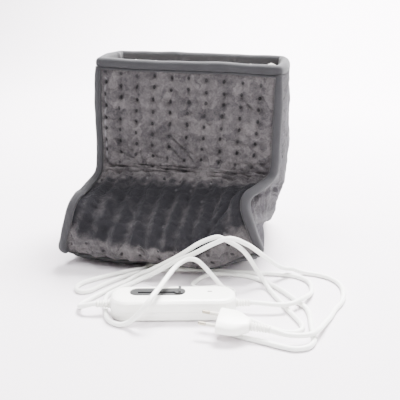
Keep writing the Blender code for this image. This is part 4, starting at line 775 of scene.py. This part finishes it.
side_plush = plush("side_plush", SIDE_LIGHT, SIDE_MID, SIDE_NAP_AND_SHADE, 22.0, stitch=(0.13, 0.15))
back_plush = plush("back_plush", PLUSH_LIGHT, PLUSH_MID, PLUSH_NAP_AND_SHADE, stitch=(0.075, 0.16))
for piece, node, cloth in (
    (plain_side("plush_side_left", -1), "side_panel_left", side_plush),
    (plain_side("plush_side_right", 1), "side_panel_right", side_plush),
    (quilted_back("quilted_back"), "back_panel", back_plush),
):
    dressed(piece, cloth, node)

# The sole: plain dark woven cloth, sewn to the panels' lower edges. It lies flat on the floor but
# lifts under the toe. The heater's pad lies on it: a layer of wadding and the felt that carries the wire.
SOLE_THICKNESS = 0.004
SOLE_MARGIN = 0.0043
PAD_REACH = 0.60


def past_edge(skin, across, beyond):
    end = skin(across, np.full(across.shape, float(COURSES)))
    before = skin(across, np.full(across.shape, COURSES * 0.955))
    way = (end - before) / np.linalg.norm(end - before, axis=-1, keepdims=True)
    return end + way * beyond


def sole_layer(lift, reach, columns, rows):
    """A grid over the sole at a height above its underside, reaching a share of the way to its rim."""
    back, across = spread(0.5 + reach * np.linspace(-0.5, 0.5, rows), np.linspace(-reach, reach, columns))
    beyond = SOLE_MARGIN - lift
    near, far = past_edge(front_skin, across, beyond), past_edge(back_skin, across, beyond)
    places = near + (far - near) * back[..., None]
    side = np.where(across < 0, -1, 1)
    swell = np.where(across < 0, BULGES[-1][-1], BULGES[1][-1]) * HALF_WIDTH
    places[..., 0] += side * np.abs(across) ** 3 * swell * 4 * back * (1 - back)
    rise = np.clip((np.maximum(np.abs(across), 2 * back - 1) - 0.7) / 0.3, 0, 1) ** 2
    by_gland = np.clip((-places[..., 0] - 0.030) / 0.02, 0, 1)
    spring = np.clip((1 - 2 * back - 0.45) / 0.55, 0, 1) ** (1.3 + 7.7 * by_gland)
    turn = np.maximum(rise, spring)
    places[..., 2] = places[..., 2] * turn + lift * (1 - turn)
    return places


def woven_threads():
    """Plain weave: two sets of threads over and under each other, as colour tone and height."""
    group, start, end = surface_group(
        "woven_threads", [("Thread Scale", "Float")], [("Tone", "Float"), ("Height", "Float")]
    )
    place = joined_node(group, "TexCoord").outputs["Object"]
    inputs = [("Vector", place), ("Scale", start.outputs["Thread Scale"]), ("Distortion", 1.2), ("Detail", 2.0)]
    waves = [
        joined_node(group, "TexWave", inputs, wave_type="BANDS", bands_direction=direction).outputs["Fac"]
        for direction in ("X", "Z")
    ]
    half = worked(group, "MULTIPLY", worked(group, "ADD", *waves), 0.5)
    tone = worked(group, "MULTIPLY_ADD", half, 0.35, noise_value(group, place, 60.0, 4.0))
    group.links.new(tone, end.inputs["Tone"])
    group.links.new(half, end.inputs["Height"])
    return group


WEAVE = woven_threads()


def woven(name, dark, light, thread_scale, bump=0.3, sheen=0.2):
    made, tree, shader = new_material(name, {"Roughness": 0.9, "Sheen Weight": sheen})
    weave = joined_node(tree, "Group", [("Thread Scale", thread_scale)], node_tree=WEAVE)
    colour = mixed(tree, ranged(tree, weave.outputs["Tone"], 0.35, 0.95), (*dark, 1), (*light, 1))
    surfaced(tree, shader, colour, weave.outputs["Height"], bump, 0.0006)
    return made


def sole_piece(name, outer, inner, reach, count):
    """A layer of the sole between the heights of its outer and its inner face."""
    return cloth_body(name, sole_layer(outer, reach, count, count), sole_layer(inner, reach, count, count))


sole = dressed(
    sole_piece("cloth_sole", 0.0, SOLE_THICKNESS, 1.0, 61),
    woven("sole_cloth", (0.012, 0.012, 0.013), (0.020, 0.019, 0.021), 420.0, 0.3, 0.0), "sole_panel",
)
felt_cloth = woven("felt_cloth", (0.62, 0.60, 0.55), (0.74, 0.72, 0.66), 260.0, 0.15)
for name, node, top, bottom in (
    ("heater_wadding", "insole_wadding", 0.0094, 0.0044), ("heater_felt_sheet", "heater_felt", 0.0118, 0.0098),
):
    dressed(sole_piece(name, top, bottom, PAD_REACH, 31), felt_cloth, node)
wire_rubber = plastic("wire_rubber", (0.62, 0.20, 0.03), (0.55, 0.17, 0.03), 1200.0)
plated = plastic("plated_steel", (0.62, 0.61, 0.58), (0.52, 0.50, 0.47), 2500.0, 0.02, metallic=1.0)
white_plastic = plastic("white_plastic", (0.86, 0.84, 0.81), (0.82, 0.80, 0.765), 1500.0, 0.02, coat=0.1)
painted((
    ("heating_wire", wire_rubber), ("thermal_cutout_1", plated), ("thermal_cutout_2", plated),
    ("heater_splice", white_plastic), ("boot_cord_gland", white_plastic),
))

# The lining: an off-white teddy sock, sewn in under the rim's tape. It is one ring of cloth down the walls,
# closed by a floor over the heater. A little of it peeps out at the right end of the front rim.
LINING_EASE = 0.0085


def lining_grid(courses, ease, count, sides):
    """Rings of places a distance inside the walls, one for each course, from the front left seam round."""
    course = courses[:, None]
    reach = 1 - ease / 0.12
    level, across = spread(courses, np.linspace(-reach, reach, count))
    runs = {}
    for name, skin, outward in (("front", front_skin, (0, -1, 0.6)), ("back", back_skin, (0, 1, 0))):
        places = skin(across, level)
        runs[name] = places - grid_normals(places, np.array(outward)) * ease
    for name, side in (("right", 1), ("left", -1)):
        depth = np.linalg.norm(seam_places("heel_" + name, course) - seam_places(name, course), axis=-1)
        start = ease / depth
        back = start + (1 - 2 * start) * np.linspace(0, 1, sides)[None, :]
        places = side_skin(side, back, course * np.ones((1, sides)))
        runs[name] = places - grid_normals(places, np.array((side, 0, 0))) * ease
    rings = np.concatenate([runs["front"], runs["right"], runs["back"][:, ::-1], runs["left"][:, ::-1]], axis=1)
    for _ in range(4):
        rings = (np.roll(rings, 1, axis=1) + 2 * rings + np.roll(rings, -1, axis=1)) / 4
    return rings


def teddy_sock(name):
    count, sides = 70, 26
    courses = np.concatenate([np.linspace(0, 3, 20), np.linspace(3.2, 10.0, 42)])
    rings = lining_grid(courses, LINING_EASE, count, sides)
    tucked = hill(courses - 4.2, 0.9)[:, None] * np.clip((0.03 - rings[..., 1]) / 0.04, 0, 1)
    rings[..., 1] += 0.0060 * tucked
    rings[..., 2] -= 0.0050 * tucked
    rings[..., 0] *= 1 - 0.04 * tucked
    top = rings[0]
    front_share = np.clip((0.02 - top[:, 1]) / 0.04, 0, 1)
    uneven = np.array([noise.noise(Vector((p[0] * 90, p[1] * 90, 8.0))) for p in top]) * 0.0016
    tuft = 0.0034 * hill(top[:, 0] - 0.118, 0.007) * (top[:, 1] < 0)
    lips = []
    for lift in (1.0, 0.7, 0.35):
        lip = top.copy()
        lip[:, 2] += lift * ((0.0110 + uneven + tuft) * front_share - 0.001 * (1 - front_share))
        lips.append(lip)
    walls = np.concatenate([np.array(lips), rings])
    middle = walls[-1].mean(axis=0)
    floor = []
    for share in np.linspace(0.9, 0.02, 18):
        ring = middle + (walls[-1] - middle) * (share, share, 0)
        blend = np.clip((1 - share) / 0.35, 0, 1)
        blend = blend * blend * (3 - 2 * blend)
        ring[:, 2] = walls[-1][:, 2] * (1 - blend) + 0.0205 * blend
        floor.append(ring)
    inside = np.concatenate([walls, np.array(floor)])
    inside = np.concatenate([inside, inside[:, :1]], axis=1)
    out = grid_normals(inside, inside - inside.mean(axis=1, keepdims=True))
    curls = tufts(inside, 0.0045, 0.0016) + tufts(inside, 0.009, 0.0012)
    near = inside - out * (0.0035 + curls)[..., None]
    obj = cloth_body(name, near, inside)
    closed_up(obj.data, 0.00002)
    return obj


lining = dressed(
    teddy_sock("teddy_sock"),
    plush("teddy_plush", (0.86, 0.84, 0.80), (0.70, 0.67, 0.62), (0.70, 0.67, 0.62), 60.0, bump=0.8), "teddy_lining",
)

# The bindings: grey jersey tape wrapped over each upright seam and sewn down along both its edges. It stands as a
# soft flat band bent round the corner, with a groove where the needle went and small puckers beside it.
TAPE_THICKNESS = 0.0034
TAPE_BEND = 0.0050
TAPE_LIFT = 0.0024
TAPE_FORMS = {"left": (0.0016, 0.0030), "right": (0.0006, 0.0), "heel_left": (0.0, 0.0), "heel_right": (0.0, 0.0)}


def smoothed(values, passes):
    for _ in range(passes):
        values = np.concatenate([values[:1], (values[:-2] + 2 * values[1:-1] + values[2:]) / 4, values[-1:]])
    return values


def unit(vectors):
    return vectors / (np.linalg.norm(vectors, axis=-1, keepdims=True) + 1e-12)


def square_to(way, vectors):
    return unit(vectors - (vectors * way).sum(axis=-1, keepdims=True) * way)


def ring_body(name, rings, closed=False, sharp=None):
    """A body through rings of places, capped at its ends unless it closes on itself."""
    bm = bmesh.new()
    made = [[bm.verts.new(p) for p in ring] for ring in rings]
    pairs = list(zip(made, made[1:])) + ([(made[-1], made[0])] if closed else [])
    for near, far in pairs:
        for i in range(len(near)):
            k = (i + 1) % len(near)
            bm.faces.new((near[i], near[k], far[k], far[i]))
    if not closed:
        bm.faces.new(made[0])
        bm.faces.new(made[-1])
    bmesh.ops.recalc_face_normals(bm, faces=bm.faces)
    return body_of(name, bm, sharp)


def wrapped_tape(name, seam, seed):
    course = np.linspace(0.0, COURSES - 0.03, 190)
    line = seam_places(seam, course)
    way = unit(np.gradient(line, axis=0))
    side = -1 if "left" in seam else 1
    heel = "heel" in seam
    panel = (back_skin if heel else front_skin)(np.full(course.shape, side * 0.92), course)
    flank = side_skin(side, np.full(course.shape, 0.94 if heel else 0.06), course)
    arms = [square_to(way, place - line) for place in (panel, flank)]
    out = square_to(way, smoothed(unit(-(arms[0] + arms[1])), 12))
    across = np.cross(way, out)
    if (across * (arms[1] - arms[0])).sum() < 0:
        across = -across
    turn = (math.pi - np.arccos(np.clip((arms[0] * arms[1]).sum(axis=-1), -1, 1))) / 2
    turn = smoothed(turn, 12)
    more_width, more_lift = TAPE_FORMS[seam]
    half = 0.0078 + more_width * hill(course - 7.5, 2.4)
    half *= 0.72 + 0.28 * np.clip(course / 0.5, 0, 1)
    lift = TAPE_LIFT * (0.2 + 0.8 * np.clip(course / 0.5, 0, 1))
    fat = more_lift * hill(course - 10.35, 0.55)
    end = np.clip((COURSES - 0.03 - course) / 0.22, 0.02, 1) ** 0.5
    along = np.concatenate([[0], np.cumsum(np.linalg.norm(np.diff(line, axis=0), axis=1))])
    outer = np.linspace(-1, 1, 33)
    rings = []
    for i in range(len(course)):
        ring = []
        pucker = 0.5 + 0.5 * math.sin(along[i] * 2 * math.pi / 0.0062)
        for share, face in [(u, 1) for u in outer] + [(u, -1) for u in outer[-3:1:-3]]:
            reach = abs(share) * half[i] * end[i]
            bend = min(reach / TAPE_BEND, turn[i])
            straight = reach - bend * TAPE_BEND
            high = lift[i] + TAPE_BEND * (math.cos(bend) - 1) - straight * math.sin(bend)
            wide = TAPE_BEND * math.sin(bend) + straight * math.cos(bend)
            thick = TAPE_THICKNESS / 2 * end[i] * math.sqrt(max(1 - abs(share) ** 7, 0.0)) * face
            if face > 0:
                groove = math.exp(-(((reach - half[i] + 0.0019) / 0.0005) ** 2))
                thick += fat[i] * math.cos(math.pi / 2 * share) - groove * (0.0004 + 0.0003 * pucker) * end[i]
                thick += noise.noise(Vector((along[i] * 45, share * 1.2, seed))) * 0.0007 * (1 - share**2)
            thick -= 0.0020 * abs(share) ** 6
            way_out = math.copysign(1, share)
            level = out[i] * math.cos(bend) + across[i] * (math.sin(bend) * way_out)
            ring.append(line[i] + out[i] * high + across[i] * (wide * way_out) + level * thick)
        rings.append(ring)
    return ring_body(name, rings)


tape = woven("jersey_tape", (0.0165, 0.0155, 0.0186), (0.024, 0.0228, 0.0267), 520.0, 0.25, 0.08)
for seed, (seam, node) in enumerate((
    ("left", "front_binding_left"), ("right", "front_binding_right"),
    ("heel_left", "back_binding_left"), ("heel_right", "back_binding_right"),
)):
    dressed(wrapped_tape("tape_" + node, seam, seed * 7.3), tape, node)

# The rim: the same tape, folded over the top edges of all the panels and the lining and sewn through twice. It
# stands as one soft roll round the opening, over a flat strip that the lower seam holds down.
RIM_PROFILE = [
    (0.0015, -0.0056), (-0.0020, -0.0052), (-0.0027, -0.0040), (-0.0024, -0.0026), (-0.0008, -0.0017),
    (-0.0022, -0.0007), (-0.0031, 0.0018), (-0.0033, 0.0055), (-0.0029, 0.0092), (-0.0014, 0.0121),
    (0.0012, 0.0136), (0.0042, 0.0137), (0.0068, 0.0125), (0.0084, 0.0100), (0.0090, 0.0060), (0.0088, 0.0010),
    (0.0080, -0.0030), (0.0050, -0.0052),
]


def rim_ring(name):
    ring = lining_grid(np.array([0.0, 0.05]), 0.0004, 170, 60)[0]
    keep = [0]
    for i in range(1, len(ring)):
        if np.linalg.norm(ring[i] - ring[keep[-1]]) > 0.0008:
            keep.append(i)
    ring = ring[keep]
    for _ in range(10):
        ring = (np.roll(ring, 1, axis=0) + 2 * ring + np.roll(ring, -1, axis=0)) / 4
    way = np.roll(ring, -1, axis=0) - np.roll(ring, 1, axis=0)
    square = unit(np.stack([-way[:, 1], way[:, 0], np.zeros(len(way))], axis=1))
    if (square * (ring.mean(axis=0) - ring)).sum() < 0:
        square = -square
    rings = []
    along = 0.0
    for i, (place, inward) in enumerate(zip(ring, square)):
        along += float(np.linalg.norm(place - ring[i - 1])) if i else 0.0
        waver = noise.noise(Vector((along * 28, 0.0, 5.0))) * 0.0011
        pucker = math.sin(along * 2 * math.pi / 0.0068) * 0.00018
        tuck = max(noise.noise(Vector((along * 75, 3.0, 1.0))) - 0.15, 0) * 0.0040
        front_share = min(max((0.02 - place[1]) / 0.04, 0), 1)
        loop = []
        for depth, height in RIM_PROFILE:
            shift = -pucker if depth < 0 and height < 0.001 else 0.0
            shift += tuck * (depth > 0.005) - 0.5 * waver * (height > 0.001) * (depth < 0)
            level = height * (1 - 0.17 * front_share) + 0.0011 * front_share * (height < 0)
            loop.append(place + inward * (depth + shift) + np.array((0, 0, level + waver * (height > 0.004))))
        rings.append(loop)
    return ring_body(name, rings, closed=True)


rim = dressed(rim_ring("rim_tape"), tape, "rim_binding")

# The controller: two moulded shells of white plastic, screwed together from below over a board with a slide
# switch. Its track and slider are dark grey, moulded in a fine spark grain. Soft sleeves guard the cords.
RIB_VALLEY = 0.0019
SHARP_EDGE = 50
case_plastic = plastic("case_plastic", (0.88, 0.86, 0.83), (0.85, 0.83, 0.795), 1400.0, 0.02, coat=0.15)
track_plastic = plastic("track_plastic", (0.016, 0.016, 0.017), (0.021, 0.021, 0.0215), 1800.0, 0.12)
knob_plastic = plastic("knob_plastic", (0.018, 0.018, 0.019), (0.026, 0.026, 0.027), 1800.0, 0.12)
dark_moulding = plastic("dark_moulding", (0.05, 0.05, 0.052), (0.07, 0.07, 0.072), 1500.0, 0.05)
board_lacquer = plastic("board_lacquer", (0.02, 0.13, 0.06), (0.03, 0.17, 0.08), 700.0, 0.05, coat=0.4)
film_yellow = plastic("film_yellow", (0.70, 0.36, 0.05), (0.62, 0.30, 0.04), 900.0, 0.05)
lens_plastic = plastic("lens_plastic", (0.20, 0.18, 0.16), (0.16, 0.14, 0.12), 1200.0, 0.02, coat=0.5)
controller_finishes = (
    ("controller_top_shell", case_plastic), ("controller_bottom_shell", case_plastic),
    ("slider_track", track_plastic), ("slider_knob", knob_plastic), ("slider_carriage", white_plastic),
    ("slide_switch", dark_moulding), ("circuit_board", board_lacquer), ("capacitor", film_yellow),
    ("triac", dark_moulding), ("indicator_led", film_yellow), ("indicator_lens", lens_plastic),
    ("controller_screw_1", plated), ("controller_screw_2", plated), ("controller_screw_3", plated),
    ("controller_screw_4", plated), ("cord_clamp_left", white_plastic), ("cord_clamp_right", white_plastic),
)
painted(controller_finishes)


def turned_sleeve(name, profile, own_frame, offset, turn, sides=40):
    """A soft sleeve turned from a closed profile of radius and height."""
    spin = Euler(turn).to_matrix()
    rings = []
    for k in range(sides):
        angle = 2 * math.pi * k / sides
        ring = [Vector((r * math.cos(angle), r * math.sin(angle), h)) for r, h in profile]
        rings.append([placed(own_frame, Vector(offset) + spin @ point) for point in ring])
    return ring_body(name, rings, closed=True, sharp=SHARP_EDGE)


def ribbed_profile(length, root, tip, ribs, neck_radius, neck, collar):
    """The section of a ribbed sleeve: its length and radii, its number of ribs, and its neck in the housing."""
    bore = CORD_RADIUS + 0.0003
    profile = [(bore, length), (tip - 0.0004, length), (tip, length - 0.0004)]
    pitch = (length - 0.0011) / ribs
    for k in range(ribs):
        centre = length - pitch * (k + 0.5)
        radius = tip + (root - tip) * (k + 0.5) / ribs
        for step in range(7):
            u = step / 6
            profile.append((radius - RIB_VALLEY * (1 - math.sin(math.pi * u) ** 0.6), centre + pitch * (0.5 - u)))
    profile += [(root, 0.0011), (root + 0.0006, 0.0009), (root + 0.0007, 0.0003)]
    profile += [(neck_radius, 0.0003), (neck_radius, -neck)]
    if collar:
        profile += [(neck_radius + 0.0008, -neck), (neck_radius + 0.0008, -neck - 0.0016), (bore, -neck - 0.0016)]
    else:
        profile.append((bore, -neck))
    return profile


sleeve_plastic = plastic("sleeve_plastic", (0.84, 0.82, 0.79), (0.78, 0.76, 0.72), 600.0, 0.06)
for side, way in (("left", -1), ("right", 1)):
    profile = ribbed_profile(
        length=0.016, root=0.0048, tip=0.0041, ribs=5, neck_radius=0.0048, neck=0.0028, collar=True
    )
    place, turn = (way * CASE_END, 0, CASE_MIDDLE), (0, way * math.pi / 2, 0)
    sleeve = turned_sleeve("ribbed_sleeve_" + side, profile, CASE_FRAME, place, turn)
    dressed(sleeve, sleeve_plastic, "strain_relief_" + side)

# The plug: a flat two-pin mains plug, its body moulded round the pins in white plastic, with a long ribbed sleeve
# on the cord. The pins are plated brass with insulating sleeves at their roots.
PLUG_WIDTH = 0.0353
PLUG_THICKNESS = 0.0137
PLUG_LENGTH = 0.034
# Its sections, from the pins to the cord: the share of its length, and of its width and thickness there.
PLUG_STATIONS = (
    (0.000, 0.90, 0.86), (0.012, 0.985, 0.97), (0.05, 1.00, 1.00), (0.28, 1.00, 1.00), (0.50, 0.985, 1.00),
    (0.62, 0.92, 1.00), (0.72, 0.80, 0.99), (0.82, 0.63, 0.97), (0.91, 0.52, 0.94), (0.985, 0.46, 0.90),
    (1.000, 0.42, 0.84),
)


def plug_shell(name, sides=48):
    rings = []
    for along, wide, deep in PLUG_STATIONS:
        ring = []
        for k in range(sides):
            angle = 2 * math.pi * (k + 0.5) / sides
            c, s = math.cos(angle), math.sin(angle)
            y = PLUG_WIDTH / 2 * wide * math.copysign(abs(c) ** (2 / 3.6), c)
            z = PLUG_THICKNESS / 2 * deep * math.copysign(abs(s) ** (2 / 2.6), s)
            ring.append(placed(PLUG_FRAME, (PLUG_LENGTH * along, y, z)))
        rings.append(ring)
    return ring_body(name, rings, sharp=SHARP_EDGE)


plug = dressed(plug_shell("plug_shell"), case_plastic, "plug_body")
profile = ribbed_profile(
    length=0.022, root=0.0052, tip=0.0041, ribs=7, neck_radius=0.0042, neck=0.006, collar=False
)
plug_sleeve = turned_sleeve("ribbed_sleeve_plug", profile, PLUG_FRAME, (PLUG_LENGTH, 0, 0), (0, math.pi / 2, 0))
dressed(plug_sleeve, sleeve_plastic, "plug_strain_relief")
pin_brass = plastic("pin_brass", (0.40, 0.36, 0.30), (0.30, 0.26, 0.20), 2500.0, 0.02, metallic=1.0)
pin_sleeve_plastic = plastic("pin_sleeve_plastic", (0.60, 0.565, 0.52), (0.54, 0.505, 0.46), 1500.0, 0.02)
plug_finishes = (
    ("plug_pin_1", pin_brass), ("plug_pin_2", pin_brass),
    ("plug_pin_sleeve_1", pin_sleeve_plastic), ("plug_pin_sleeve_2", pin_sleeve_plastic),
)
painted(plug_finishes)
